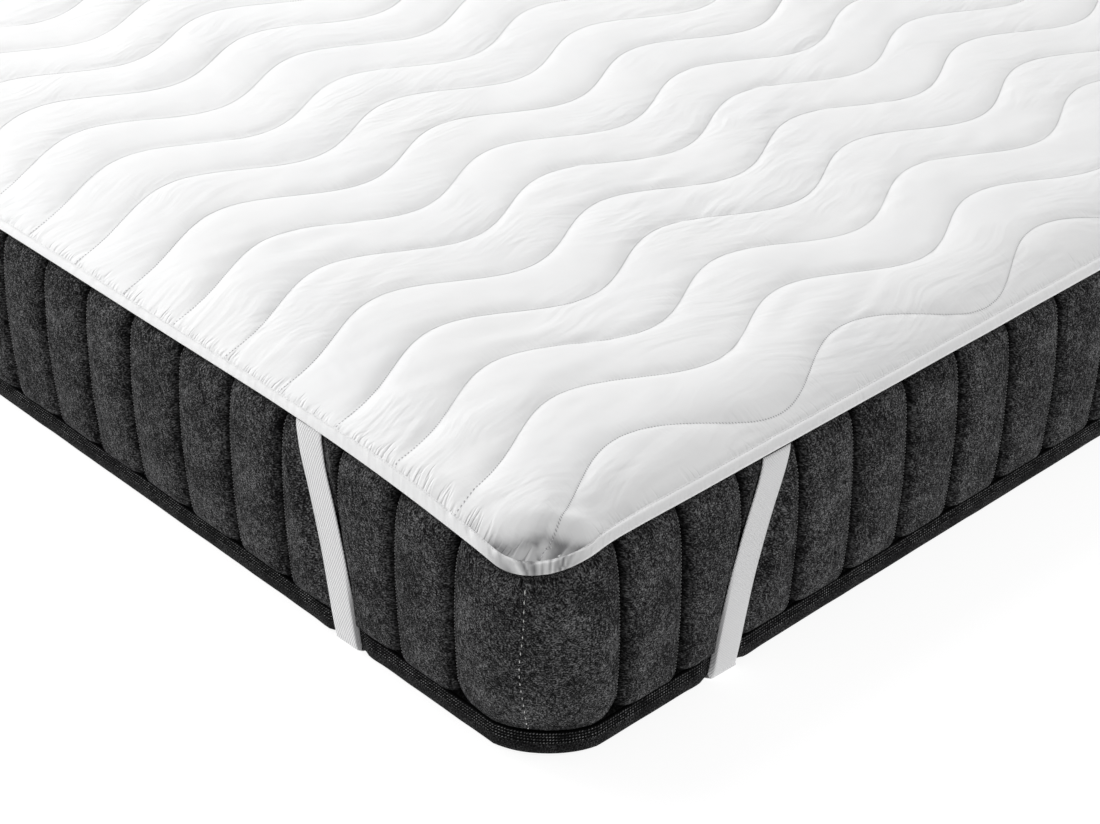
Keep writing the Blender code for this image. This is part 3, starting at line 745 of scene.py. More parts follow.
def side_out(s, z, top, x, y, nx, ny, half, mid, corner):
    """Stand-out of the mattress side from its outline."""
    w = np.clip((z - SIDE_LOW) / (top - SIDE_LOW), 0, 1)
    belly = 0.0050 * np.sin(PI * w) ** 0.8
    edge = half - np.abs(s - mid)
    # rounded feet, wider on the double panel round each corner
    wide = half > 0.05
    r = np.where(wide, 0.026, 0.015)
    up = (z - SIDE_LOW) * np.where(wide, 1.0, 2.0)
    qx, qz = r - edge, r - up
    d = r - np.hypot(np.maximum(qx, 0), np.maximum(qz, 0)) - np.minimum(np.maximum(qx, qz), 0)
    f = np.clip(d / 0.034, 0, 1)
    head = np.clip((top - z) / 0.030, 0, 1)
    arch = (1 - (1 - f) ** 2) ** 0.55 * (1 - (1 - head) ** 2) ** 0.5
    puff = 0.0082 * arch
    deep = 0.0018 + 0.0066 * np.exp(-(edge / 0.020) ** 2)
    notch = deep * np.exp(-(np.maximum(d, 0) / 0.0036) ** 1.5) * smooth(w / 0.03)
    lump = 0.0009 * bump(s / 0.060, z / 0.055, 131, 2) * arch
    out = belly + puff + lump - notch
    # the double panel at a corner is sewn down its middle
    dash = np.abs(s - (mid + 0.0)) if corner is None else np.abs(s - corner)
    out = np.where(half > 0.05, out - 0.0016 * np.exp(-(dash / 0.0050) ** 1.3) * np.sin(PI * w) ** 0.3, out)
    # pressed flat under the bands
    gap = band_distance(x, y, nx, ny, z)
    limit = band_at(z, nx)[0] - 0.0014
    press = 1 - smooth((gap - BAND_WIDTH / 2 - 0.0010) / 0.014)
    out = out * (1 - press) + np.minimum(out, limit) * press
    return out - tuck_in(nx, ny, z), np.maximum(d, 0)


DASH = 0.0705                # the dashed corner seam, from the first end seam


def corner_dash(mid, half):
    return mid + half - DASH


def side_point(s, z):
    """Point of the mattress side at run s and height z, any arrays."""
    s, z = np.broadcast_arrays(np.asarray(s, float), np.asarray(z, float))
    x, y, nx, ny = outline(s)
    top = underside(x, y) - 0.0030
    ring = np.concatenate([[SEAMS[-1] - AROUND], SEAMS, [SEAMS[0] + AROUND]])
    sm = np.mod(s, AROUND)
    k = np.clip(np.searchsorted(ring, sm + 1e-9, side="right") - 1, 0, len(ring) - 2)
    a, b = ring[k], ring[k + 1]
    half, mid = (b - a) / 2, (a + b) / 2
    out, edge = side_out(sm, z, top, x, y, nx, ny, half, mid, corner_dash(mid, half))
    return np.stack([x + nx * out, y + ny * out, z], -1), np.stack([nx, ny, 0 * nx], -1), edge


def build_mattress(mat):
    cols = []
    near_seam = [0.0, 0.0008, 0.0016, 0.0026, 0.0040, 0.0060, 0.0090, 0.0135, 0.0190]
    for a, b in zip(SEAMS, np.concatenate([SEAMS[1:], [SEAMS[0] + AROUND]])):
        count = 16 if b - a > 0.1 else 3
        middle = [0.026 + (b - a - 0.052) * k / count for k in range(count + 1)]
        cols += [a + d for d in near_seam + middle]
        cols += [b - d for d in near_seam[:0:-1]]
    s = np.array(cols)
    n = len(s)
    x, y, nx, ny = outline(s)
    top = underside(x, y) - 0.0030
    rows = 34
    loops, edges = [], []
    tuck = tuck_in(nx, ny, 0.0)
    for inset, z in ((0.012, 0.0019), (0.0016, 0.0022), (0.0008, 0.0060), (0.0008, 0.0200)):
        loops.append(np.stack([x - nx * (inset + tuck), y - ny * (inset + tuck), np.full(n, z)], 1))
    for k in range(rows):
        w = (1 - math.cos(PI * k / (rows - 1))) / 2
        w = 0.6 * w + 0.4 * k / (rows - 1)
        z = SIDE_LOW + (top - SIDE_LOW) * w
        p, _, edge = side_point(s, z)
        if k == 0:
            p = np.stack([x - nx * (0.0004 + tuck), y - ny * (0.0004 + tuck), z], 1)
        loops.append(p)
        edges.append(edge)
    # shoulder and top, below the pad
    for inset, below in ((0.010, 0.0026), (0.026, 0.0020), (0.050, 0.0012), (0.085, 0.0008)):
        shrink = inset if inset <= 0.05 else 0.0
        qx, qy = x - nx * shrink, y - ny * shrink
        if shrink == 0.0:
            qx, qy = x * (W / 2 - inset) / (W / 2), y * (L / 2 - inset) / (L / 2)
        low = underside(qx, qy) if inset < 0.08 else np.full(n, TOP)
        loops.append(np.stack([qx, qy, low - below], 1))
    # underside: a little higher round the edge, where the bands pass
    under = []
    for inset, z in ((0.030, 0.0018), (0.0545, 0.0018)):
        under.append(np.stack([x - nx * inset, y - ny * inset, np.full(n, z)], 1))
    points = np.concatenate(loops + under + [np.array([[0, 0, TOP - 0.0008]])])
    run = np.concatenate([s, [AROUND + s[0]]])
    faces, uvc, uvs = [], [], []
    edges = [edges[0]] * 4 + edges + [edges[-1]] * 4
    zs = [lp[:, 2] for lp in loops]
    for k in range(len(loops) - 1):
        faces.append(ring_faces(k * n, (k + 1) * n, n))
        t = np.zeros((n, 4, 2))
        e = np.zeros((n, 4, 2))
        lo, hi = np.append(zs[k], zs[k][0]), np.append(zs[k + 1], zs[k + 1][0])
        if k >= 3 + rows:
            hi = hi + 0.012 * (k - 2 - rows)
            lo = lo + 0.012 * (k - 3 - rows)
        below, above = (np.append(edges[k + j], edges[k + j][0]) for j in (0, 1))
        for c, (rs, h, edge) in enumerate(((slice(None, -1), lo, below), (slice(1, None), lo, below),
                                           (slice(1, None), hi, above), (slice(None, -1), hi, above))):
            t[:, c, 0], t[:, c, 1] = run[rs], h[rs]
            e[:, c, 0], e[:, c, 1] = edge[rs], h[rs]
        uvc.append(t.reshape(-1, 2))
        uvs.append(e.reshape(-1, 2))
    # closing the underside
    order = [0, len(loops), len(loops) + 1]
    for a, b in zip(order, order[1:]):
        faces.append(ring_faces(a * n, b * n, n))
    faces = [list(q) for q in np.concatenate(faces)]
    last_top, last_under, hub = (len(loops) - 1) * n, (len(loops) + 1) * n, len(points) - 1
    # an even grid of the middle of the underside, resting on the ground
    more = [points]
    inner = []
    for inset, z in ((0.30, 0.0018), (0.34, 0.0)):
        f = (W / 2 - inset) / (W / 2 - 0.0545)
        g = (L / 2 - inset) / (L / 2 - 0.0545)
        base = points[last_under:last_under + n]
        inner.append(np.stack([base[:, 0] * f, base[:, 1] * g, np.full(n, z)], 1))
    start = len(points)
    more += inner + [np.array([[0, 0, 0.0]])]
    points = np.concatenate(more)
    faces += [list(q) for q in ring_faces(last_under, start, n)]
    faces += [list(q) for q in ring_faces(start, start + n, n)]
    k = np.arange(n)
    j = (k + 1) % n
    faces += [[start + n + a, start + n + b, start + 2 * n] for a, b in zip(k, j)]
    faces += [[last_top + a, last_top + b, hub] for a, b in zip(k, j)]
    rest = sum(len(f) for f in faces) - sum(len(t) for t in uvc)
    flat = np.zeros((rest, 2))
    # the underside takes its weave from its place
    pos = np.array([points[i][:2] for f in faces[len(faces) - 0 - (rest_count(faces, uvc)):] for i in f])
    flat[:] = pos
    off = np.full((rest, 2), 0.03)
    return mesh_object("mattress", points, faces, mat,
                       {"cloth": np.concatenate(uvc + [flat]), "seam": np.concatenate(uvs + [off])})


def rest_count(faces, uvc):
    """How many faces come after those that already have coordinates."""
    done = sum(len(t) for t in uvc)
    k = 0
    while done > 0:
        done -= len(faces[k])
        k += 1
    return len(faces) - k


def build_side_stitches(mat, dash_mat):
    """Thread of the vertical seams, and the light dashes of the corner seams."""
    centres, heads, ups = [], [], []
    for s0 in SEAMS:
        x, y, _, _ = outline(np.array([s0]))
        top = float(underside(x, y)[0]) - 0.006
        z = np.arange(SIDE_LOW + 0.010, top, 0.0030)
        off = 0.0058 if STARTS[2] <= s0 < STARTS[4] or STARTS[6] <= s0 < STARTS[7] else -0.0058
        p, nrm, _ = side_point(np.full_like(z, s0 + off), z)
        q, _, _ = side_point(np.full_like(z, s0 + off), z + 0.001)
        centres.append(p + nrm * 0.0001)
        heads.append(q - p)
        ups.append(nrm)
    seam = stitch_mesh("side_seam_thread", np.concatenate(centres), np.concatenate(heads),
                       np.concatenate(ups), 0.0018, 0.0010, 0.0007, mat)
    centres, heads, ups = [], [], []
    ring = np.concatenate([SEAMS, [SEAMS[0] + AROUND]])
    for a, b in zip(ring, ring[1:]):
        if b - a < 0.1:
            continue
        s0 = corner_dash((a + b) / 2, (b - a) / 2)
        x, y, _, _ = outline(np.array([s0]))
        top = float(underside(x, y)[0]) - 0.0035
        z = np.arange(SIDE_LOW + 0.004, top, 0.0074)
        s = s0 + 0.0026 * np.exp(-((z - 0.082) / 0.042) ** 2) + 0.0004 * np.sin(z / 0.012)
        p, nrm, _ = side_point(s, z)
        q, _, _ = side_point(s, z + 0.001)
        centres.append(p + nrm * 0.0003)
        heads.append(q - p)
        ups.append(nrm)
    dashes = stitch_mesh("corner_seam_thread", np.concatenate(centres), np.concatenate(heads),
                         np.concatenate(ups), 0.0044, 0.0010, 0.0006, dash_mat)
    return seam, dashes


def build_tape(mat):
    s = np.arange(0, AROUND, 0.0045)
    s = s * (AROUND / (s[-1] + 0.0045))
    n = len(s)
    x, y, nx, ny = outline(s)
    gap = band_distance(x, y, nx, ny, np.full(n, 0.012))
    press = 1 - smooth((gap - BAND_WIDTH / 2 - 0.001) / 0.010)
    swell = np.exp(-((gap - 0.030) / 0.010) ** 2)
    section = []
    # flat lower band, then four ribs
    section.append((-0.0006, TAPE_LOW))
    for t in np.linspace(0, 1, 7):
        section.append((0.0016 + 0.0010 * math.sin(PI * (0.08 + 0.84 * t)), TAPE_LOW + 0.0004 + t * 0.0088))
    base = TAPE_LOW + 0.0098
    pitch = (TAPE_HIGH - base) / 4
    for k in range(4):
        for t, h in ((0.04, 0.0012), (0.28, 0.0023), (0.52, 0.0027), (0.76, 0.0023)):
            section.append((h + 0.0002, base + pitch * (k + t)))
    section.append((0.0008, TAPE_HIGH))
    section.append((-0.0006, TAPE_HIGH - 0.0004))
    section.append((-0.0006, (TAPE_LOW + TAPE_HIGH) / 2))
    loops = []
    wave = 0.00025 * noise(s / 0.020, 0.3, 151)
    for out, up in section:
        o = out * (1 - 0.60 * press) + np.where(out > 0, 0.0008 * swell + wave, 0)
        o = o - tuck_in(nx, ny, 0.0)
        z = up + 0.0018 * press * (1 - (up - TAPE_LOW) / (TAPE_HIGH - TAPE_LOW)) + 0 * s
        loops.append(np.stack([x + nx * o, y + ny * o, z], 1))
    m = len(section)
    points = np.concatenate(loops)
    run = np.concatenate([s, [AROUND]])
    faces, uv = [], []
    ups = [up for _, up in section] + [section[0][1]]
    for k in range(m):
        faces.append(ring_faces(k * n, ((k + 1) % m) * n, n))
        t = np.empty((n, 4, 2))
        t[:, 0] = np.stack([run[:-1], np.full(n, ups[k])], 1)
        t[:, 1] = np.stack([run[1:], np.full(n, ups[k])], 1)
        t[:, 2] = np.stack([run[1:], np.full(n, ups[k + 1])], 1)
        t[:, 3] = np.stack([run[:-1], np.full(n, ups[k + 1])], 1)
        uv.append(t.reshape(-1, 2))
    return mesh_object("tape", points, np.concatenate(faces), mat, {"cloth": np.concatenate(uv)})


# ------------------------------------------------------------ elastic bands
def spline(points, count):
    """Smooth line through the points, evenly sampled by run."""
    p = np.array(points, float)
    ext = np.concatenate([[2 * p[0] - p[1]], p, [2 * p[-1] - p[-2]]])
    out = []
    for k in range(1, len(ext) - 2):
        a, b, c, d = ext[k - 1:k + 3]
        t = np.linspace(0, 1, 24, endpoint=False)[:, None]
        out.append(0.5 * ((2 * b) + (c - a) * t + (2 * a - 5 * b + 4 * c - d) * t ** 2
                          + (3 * b - a - 3 * c + d) * t ** 3))
    out.append(p[-1:])
    fine = np.concatenate(out)
    run = np.concatenate([[0], np.cumsum(np.linalg.norm(np.diff(fine[:, :3], axis=0), axis=1))])
    at = np.linspace(0, run[-1], count)
    return np.stack([np.interp(at, run, fine[:, k]) for k in range(fine.shape[1])], 1), at


def build_band(name, sx, sy, mat):
    """Band of the corner at sx, sy: down the end, under the corner, up the side."""
    hx, hy = W / 2, L / 2
    pts = []          # place, across, away
    for out, up, slant in band_course(0):
        x = hx - (BAND_END_TOP + (BAND_END_LOW - BAND_END_TOP) * slant)
        pts.append((x, -hy - out, up, 1, 0, 0, 0, -1, 0))
    a = np.array([hx - BAND_END_LOW, -hy])
    b = np.array([hx, -hy + BAND_SIDE_LOW])
    a2, b2 = a + 0.105 * np.array([0.24, 1.0]), b + 0.125 * np.array([-1.0, -0.28])
    steps = 9
    for k in range(steps + 1):
        t = k / steps
        p = a * (1 - t) ** 3 + a2 * 3 * t * (1 - t) ** 2 + b2 * 3 * t * t * (1 - t) + b * t ** 3
        g = 3 * ((a2 - a) * (1 - t) ** 2 + 2 * (b2 - a2) * t * (1 - t) + (b - b2) * t * t)
        g = g / np.linalg.norm(g)
        across = np.array([g[1], -g[0]])
        if k == 0:
            across = np.array([1.0, 0.0])
        if k == steps:
            across = np.array([0.0, -1.0])
        pts.append((p[0], p[1], 0.0008, across[0], across[1], 0, 0, 0, -1))
    for out, up, slant in reversed(band_course(1)):
        y = -hy + (BAND_SIDE_TOP + (BAND_SIDE_LOW - BAND_SIDE_TOP) * slant)
        pts.append((hx + out, y, up, 0, -1, 0, 1, 0, 0))
    line, run = spline(pts, 250)
    c, across, away = line[:, :3], line[:, 3:6].copy(), line[:, 6:9].copy()
    across /= np.linalg.norm(across, axis=1, keepdims=True)
    tangent = np.gradient(c, axis=0)
    tangent /= np.linalg.norm(tangent, axis=1, keepdims=True)
    out = np.cross(across, tangent)
    out /= np.linalg.norm(out, axis=1, keepdims=True)
    flip = np.sign((out * away).sum(1))
    out *= flip[:, None]
    on_face = smooth((c[:, 2] - 0.004) / 0.02)
    lean = 0.25 * on_face
    half = BAND_WIDTH / 2 / np.cos(lean)
    # towards the corner its edge turns back, most near the bottom
    roll = smooth((0.075 - c[:, 2]) / 0.060) * smooth(c[:, 2] / 0.004)
    cells = [-1.0, -0.96, -0.80, -0.55, -0.25, 0.05, 0.35, 0.58, 0.72, 0.79, 0.86, 0.93, 1.0]
    thick = 0.0013
    loops = []
    for face in (1, -1):
        for q in (cells if face > 0 else cells[::-1]):
            edge = 1 - smooth((abs(q) - 0.93) / 0.07) * 0.55
            bow = 0.0005 * (1 - q * q) * on_face
            turn = np.maximum(q - 0.76, 0) * half
            back = turn * roll * 1.00
            inward = turn * roll * 0.50
            pos = (c + across * (q * half - inward)[:, None]
                   + out * ((face * thick / 2 * edge) + bow - back)[:, None])
            loops.append(pos)
    m, n = len(loops), len(c)
    grid = np.stack(loops, 1)                     # n, m, 3
    grid[..., 0] *= sx
    grid[..., 1] *= -sy
    points = grid.reshape(-1, 3)
    faces, uv = [], []
    wide = np.array(cells + cells[::-1]) * BAND_WIDTH / 2
    i = np.arange(n - 1)
    for k in range(m):
        j = (k + 1) % m
        faces.append(np.stack([i * m + k, i * m + j, (i + 1) * m + j, (i + 1) * m + k], 1))
        t = np.empty((n - 1, 4, 2))
        t[:, 0] = np.stack([np.full(n - 1, wide[k]), run[:-1]], 1)
        t[:, 1] = np.stack([np.full(n - 1, wide[j]), run[:-1]], 1)
        t[:, 2] = np.stack([np.full(n - 1, wide[j]), run[1:]], 1)
        t[:, 3] = np.stack([np.full(n - 1, wide[k]), run[1:]], 1)
        uv.append(t.reshape(-1, 2))
    faces = [list(q) for q in np.concatenate(faces)]
    for end in (0, n - 1):
        k = len(cells)
        for q in range(k - 1):
            a0, a1 = end * m + q, end * m + q + 1
            b0, b1 = end * m + (m - 1 - q), end * m + (m - 2 - q)
            faces.append([a0, a1, b1, b0])
            uv.append(np.array([[wide[q], run[end]], [wide[q + 1], run[end]],
                                [wide[q + 1], run[end]], [wide[q], run[end]]]))
    return mesh_object(name, points, faces, mat, {"cloth": np.concatenate(uv)}), float(run[-1])


# ------------------------------------------------------------ materials
class Tree:
    """Short hand for a procedural material."""

    def __init__(self, name, colour, roughness):
        self.mat = bpy.data.materials.new(name)
        self.mat.use_nodes = True
        self.nodes = self.mat.node_tree.nodes
        self.links = self.mat.node_tree.links
        self.shader = self.nodes["Principled BSDF"]
        self.shader.inputs["Base Color"].default_value = (*colour, 1)
        self.shader.inputs["Roughness"].default_value = roughness
        self.mat.diffuse_color = (*colour, 1)

    def add(self, kind, inputs=None, **props):
        node = self.nodes.new(kind)
        for key, value in props.items():
            setattr(node, key, value)
        for key, value in (inputs or {}).items():
            if isinstance(value, bpy.types.NodeSocket):
                self.links.new(value, node.inputs[key])
            else:
                node.inputs[key].default_value = value
        return node

    def math(self, op, a, b=None, c=None, clamp=False):
        node = self.nodes.new("ShaderNodeMath")
        node.operation = op
        node.use_clamp = clamp
        for k, value in enumerate((a, b, c)):
            if value is None:
                continue
            if isinstance(value, bpy.types.NodeSocket):
                self.links.new(value, node.inputs[k])
            else:
                node.inputs[k].default_value = value
        return node.outputs[0]

    def uv(self, layer):
        node = self.nodes.new("ShaderNodeUVMap")
        node.uv_map = layer
        split = self.add("ShaderNodeSeparateXYZ", {0: node.outputs[0]})
        return node.outputs[0], split.outputs[0], split.outputs[1]

    def place(self):
        return self.nodes.new("ShaderNodeTexCoord").outputs["Object"]

    def vector(self, x, y, z=0.0):
        return self.add("ShaderNodeCombineXYZ", {0: x, 1: y, 2: z}).outputs[0]

    def noise(self, vector, scale, detail=2.0, rough=0.5):
        node = self.add("ShaderNodeTexNoise", {"Vector": vector, "Scale": scale,
                                               "Detail": detail, "Roughness": rough})
        return node.outputs[0]

    def range(self, value, a, b, c, d, clamp=True):
        node = self.add("ShaderNodeMapRange", {0: value, 1: a, 2: b, 3: c, 4: d})
        node.clamp = clamp
        return node.outputs[0]

    def mix(self, share, a, b):
        node = self.nodes.new("ShaderNodeMix")
        node.data_type = "RGBA"
        for key, value in ((0, share), (6, a), (7, b)):
            if isinstance(value, bpy.types.NodeSocket):
                self.links.new(value, node.inputs[key])
            elif key == 0:
                node.inputs[key].default_value = value
            else:
                node.inputs[key].default_value = (*value, 1)
        return node.outputs[2]

    def bumps(self, *layers):
        """layers of (height socket, distance, strength)."""
        last = None
        for height, distance, strength in layers:
            node = self.add("ShaderNodeBump", {"Height": height, "Distance": distance,
                                               "Strength": strength})
            if last is not None:
                self.links.new(last, node.inputs["Normal"])
            last = node.outputs[0]
        self.links.new(last, self.shader.inputs["Normal"])

    def colour(self, socket):
        self.links.new(socket, self.shader.inputs["Base Color"])

    def rough(self, socket):
        self.links.new(socket, self.shader.inputs["Roughness"])


def pad_material():
    t = Tree("pad_microfibre", (0.86, 0.86, 0.86), 0.62)
    t.shader.inputs["Sheen Weight"].default_value = 0.12
    t.shader.inputs["Sheen Roughness"].default_value = 0.35
    t.shader.inputs["Specular IOR Level"].default_value = 0.35
    place = t.place()
    _, run, dist = t.uv("sewing")
    away = t.math("ABSOLUTE", dist)
    # needle holes between the stitches
    beat = t.math("FRACT", t.math("DIVIDE", run, STITCH_PITCH))
    hole_a = t.range(t.math("ABSOLUTE", t.math("SUBTRACT", beat, 0.5)), 0.10, 0.24, 1, 0)
    hole = t.math("MULTIPLY", hole_a, t.range(away, 0.0003, 0.0008, 1, 0))
    # painted shade: the colour darkens a little within about 2 mm of each sewn line, where the crease is in shade
    crease = t.range(away, 0.0004, 0.0022, 1, 0)
    tint = t.noise(place, 9.0, 3.0)
    cloth = t.mix(t.range(tint, 0.3, 0.7, 0, 1), (0.852, 0.854, 0.858), (0.872, 0.872, 0.872))
    cloth = t.mix(t.math("MULTIPLY", crease, 0.10), cloth, (0.55, 0.55, 0.56))
    # painted shade: the tuck layer darkens the cloth in the tucks of the sunk corner and beside the end edge
    _, shade, _ = t.uv("tuck")
    cloth = t.mix(t.math("MULTIPLY", shade, 0.86), cloth, (0.14, 0.14, 0.145))
    t.colour(t.mix(t.math("MULTIPLY", hole, 0.75), cloth, (0.22, 0.22, 0.23)))
    soft = t.noise(place, 38.0, 2.0, 0.55)
    t.rough(t.range(soft, 0.3, 0.7, 0.56, 0.68))
    # short tucks that run out from each seam
    tuck = t.noise(t.vector(t.math("MULTIPLY", run, 230.0), t.math("MULTIPLY", dist, 26.0)), 1.0, 1.0, 0.6)
    patch = t.range(t.noise(t.vector(t.math("MULTIPLY", run, 14.0), t.math("MULTIPLY", dist, 4.0), 3.0), 1.0, 1.0), 0.42, 0.62, 0.15, 1)
    near = t.range(away, 0.0006, 0.0150, 1, 0)
    tuck = t.math("MULTIPLY", t.math("MULTIPLY", tuck, near), patch)
    weave = t.noise(place, 950.0, 1.0)
    # light creases, mostly along the channels, in patches
    axes = t.add("ShaderNodeSeparateXYZ", {0: place})
    warp = t.math("MULTIPLY", t.math("SUBTRACT", t.noise(place, 11.0, 1.0), 0.5), 0.05)
    creases = []
    for lean, wide, seed in ((0.16, 105.0, 1.0), (-0.30, 85.0, 5.0)):
        cross = t.math("ADD", t.math("ADD", axes.outputs[0], warp), t.math("MULTIPLY", axes.outputs[1], lean))
        line = t.noise(t.vector(t.math("MULTIPLY", cross, wide), t.math("MULTIPLY", axes.outputs[1], 13.0), seed), 1.0, 1.6, 0.55)
        where = t.range(t.noise(t.vector(t.math("MULTIPLY", axes.outputs[0], 8.0), t.math("MULTIPLY", axes.outputs[1], 5.5), seed + 2.0), 1.0, 1.0), 0.46, 0.66, 0.08, 1)
        creases.append(t.math("MULTIPLY", line, where))
    # small tucks that run in from the binding
    to_end = t.math("SUBTRACT", L / 2, t.math("ABSOLUTE", axes.outputs[1]))
    to_side = t.math("SUBTRACT", W / 2, t.math("ABSOLUTE", axes.outputs[0]))
    hem = []
    for across, along, gap in ((to_end, axes.outputs[0], 170.0), (to_side, axes.outputs[1], 140.0)):
        comb = t.noise(t.vector(t.math("MULTIPLY", along, gap), t.math("MULTIPLY", across, 34.0), 8.0), 1.0, 1.0, 0.5)
        lined = t.range(t.math("ABSOLUTE", t.math("SUBTRACT", comb, 0.5)), 0.0, 0.10, 1, 0)
        length = t.range(t.noise(t.vector(t.math("MULTIPLY", along, 46.0), 3.0), 1.0, 1.0), 0.35, 0.70, 0.010, 0.024)
        reach = t.range(t.math("SUBTRACT", across, length), -0.008, 0.0, 1, 0)
        hem.append(t.math("MULTIPLY", lined, reach))
    t.bumps((weave, 0.00010, 0.35), (soft, 0.0016, 0.30), (creases[0], 0.0030, 0.60), (creases[1], 0.0030, 0.55),
            (tuck, 0.0016, 0.70), (hem[0], -0.0009, 0.75), (hem[1], -0.0006, 0.55), (hole, -0.0004, 0.6))
    return t.mat


def thread_material(name, light, dark):
    t = Tree(name, light, 0.55)
    place = t.place()
    twist = t.noise(place, 1600.0, 1.0)
    t.colour(t.mix(t.range(twist, 0.35, 0.65, 0, 1), dark, light))
    t.bumps((twist, 0.0001, 0.4))
    return t.mat


def binding_material():
    t = Tree("binding_weave", (0.85, 0.85, 0.85), 0.66)
    t.shader.inputs["Sheen Weight"].default_value = 0.10
    t.shader.inputs["Specular IOR Level"].default_value = 0.35
    place = t.place()
    _, run, across = t.uv("cloth")
    tint = t.noise(place, 22.0, 3.0)
    cloth = t.mix(t.range(tint, 0.3, 0.7, 0, 1), (0.835, 0.837, 0.842), (0.868, 0.868, 0.868))
    # painted shade: the tuck layer darkens the binding where it is gathered round the sunk corner
    _, shade, _ = t.uv("tuck")
    t.colour(t.mix(t.math("MULTIPLY", shade, 0.92), cloth, (0.15, 0.15, 0.155)))
    weft = t.math("SINE", t.math("MULTIPLY", run, 2 * PI / 0.0011))
    warp = t.math("SINE", t.math("MULTIPLY", across, 2 * PI / 0.0011))
    weave = t.math("MULTIPLY", weft, warp)
    gather = t.noise(t.vector(t.math("MULTIPLY", run, 170.0), t.math("MULTIPLY", across, 40.0)), 1.0, 2.0, 0.55)
    soft = t.noise(place, 60.0, 2.0)
    t.bumps((weave, 0.00005, 0.3), (soft, 0.0012, 0.30), (gather, 0.0015, 0.50))
    return t.mat


def elastic_material():
    t = Tree("elastic_twill", (0.82, 0.82, 0.82), 0.60)
    t.shader.inputs["Sheen Weight"].default_value = 0.08
    place = t.place()
    _, across, run = t.uv("cloth")
    # steep twill lines, crossed by fine covered rubbers that run lengthwise
    slant = t.math("ADD", t.math("MULTIPLY", across, 1.0), t.math("MULTIPLY", run, 0.62))
    twill = t.math("SINE", t.math("MULTIPLY", slant, 2 * PI / 0.0023))
    ribs = t.math("SINE", t.math("MULTIPLY", across, 2 * PI / 0.0014))
    grain = t.noise(t.vector(t.math("MULTIPLY", across, 900.0), t.math("MULTIPLY", run, 500.0)), 1.0, 2.0, 0.6)
    tone = t.math("ADD", t.math("MULTIPLY", t.range(twill, -1, 1, 0, 1), 0.65), t.math("MULTIPLY", grain, 0.35))
    cloth = t.mix(t.range(tone, 0.25, 0.75, 0, 1), (0.60, 0.60, 0.61), (0.86, 0.86, 0.86))
    # painted shade: the turned edge beside each foot is darkened in colour
    feet = t.math("MAXIMUM", t.math("MULTIPLY", t.range(run, 0.110, 0.150, 0, 1), t.range(run, 0.196, 0.210, 1, 0)),
                  t.math("MULTIPLY", t.range(run, 0.515, 0.530, 0, 1), t.range(run, 0.575, 0.615, 1, 0)))
    turned_edge_painted_shade = t.math("MULTIPLY", t.range(across, 0.0112, 0.0124, 0, 1), feet)
    t.colour(t.mix(t.math("MULTIPLY", turned_edge_painted_shade, 0.78), cloth, (0.24, 0.24, 0.245)))
    t.bumps((twill, 0.00020, 0.65), (ribs, 0.00008, 0.35), (grain, 0.0002, 0.4))
    return t.mat


def mattress_material():
    t = Tree("mattress_marl", (0.045, 0.045, 0.046), 0.95)
    t.shader.inputs["Specular IOR Level"].default_value = 0.03
    cloth, run, up = t.uv("cloth")
    _, seam, _ = t.uv("seam")
    # felted fibres, a little slanted
    lean = t.vector(t.math("ADD", t.math("MULTIPLY", run, 0.85), t.math("MULTIPLY", up, -0.40)),
                    t.math("ADD", t.math("MULTIPLY", up, 0.42), t.math("MULTIPLY", run, 0.42)))
    grain = t.noise(cloth, 780.0, 1.0, 0.6)
    fibre = t.noise(lean, 400.0, 1.5, 0.65)
    tuft = t.noise(lean, 150.0, 1.5, 0.6)
    cloud = t.noise(cloth, 30.0, 2.0, 0.5)
    level = t.math("ADD", t.math("MULTIPLY", fibre, 0.42), t.math("MULTIPLY", tuft, 0.18))
    level = t.math("ADD", level, t.math("MULTIPLY", grain, 0.76))
    level = t.math("ADD", level, t.math("MULTIPLY", t.math("SUBTRACT", cloud, 0.5), 0.20))
    cells = t.add("ShaderNodeTexVoronoi", {"Vector": lean, "Scale": 150.0, "Randomness": 0.9})
    chosen = t.range(t.add("ShaderNodeSeparateColor", {0: cells.outputs["Color"]}).outputs[0], 0.48, 0.54, 0, 1)
    pit = t.math("MULTIPLY", t.range(cells.outputs["Distance"], 0.08, 0.30, 1, 0), chosen)
    shade = t.math("POWER", t.range(level, 0.54, 0.88, 0, 1), 2.1)
    base = t.mix(shade, (0.0065, 0.0065, 0.0068), (0.215, 0.215, 0.218))
    base = t.mix(t.math("MULTIPLY", pit, 0.88), base, (0.002, 0.002, 0.0022))
    # painted shade down each seam: the colour darkens towards the seam and most in the groove itself
    base = t.mix(t.range(seam, 0.0030, 0.0130, 0.42, 0), base, (0.002, 0.002, 0.0022))
    t.colour(t.mix(t.range(seam, 0.0012, 0.0040, 0.90, 0), base, (0.0012, 0.0012, 0.0013)))
    high = t.math("SUBTRACT", level, t.math("MULTIPLY", pit, 0.40))
    t.bumps((cloud, 0.0020, 0.30), (high, 0.0016, 0.70))
    return t.mat


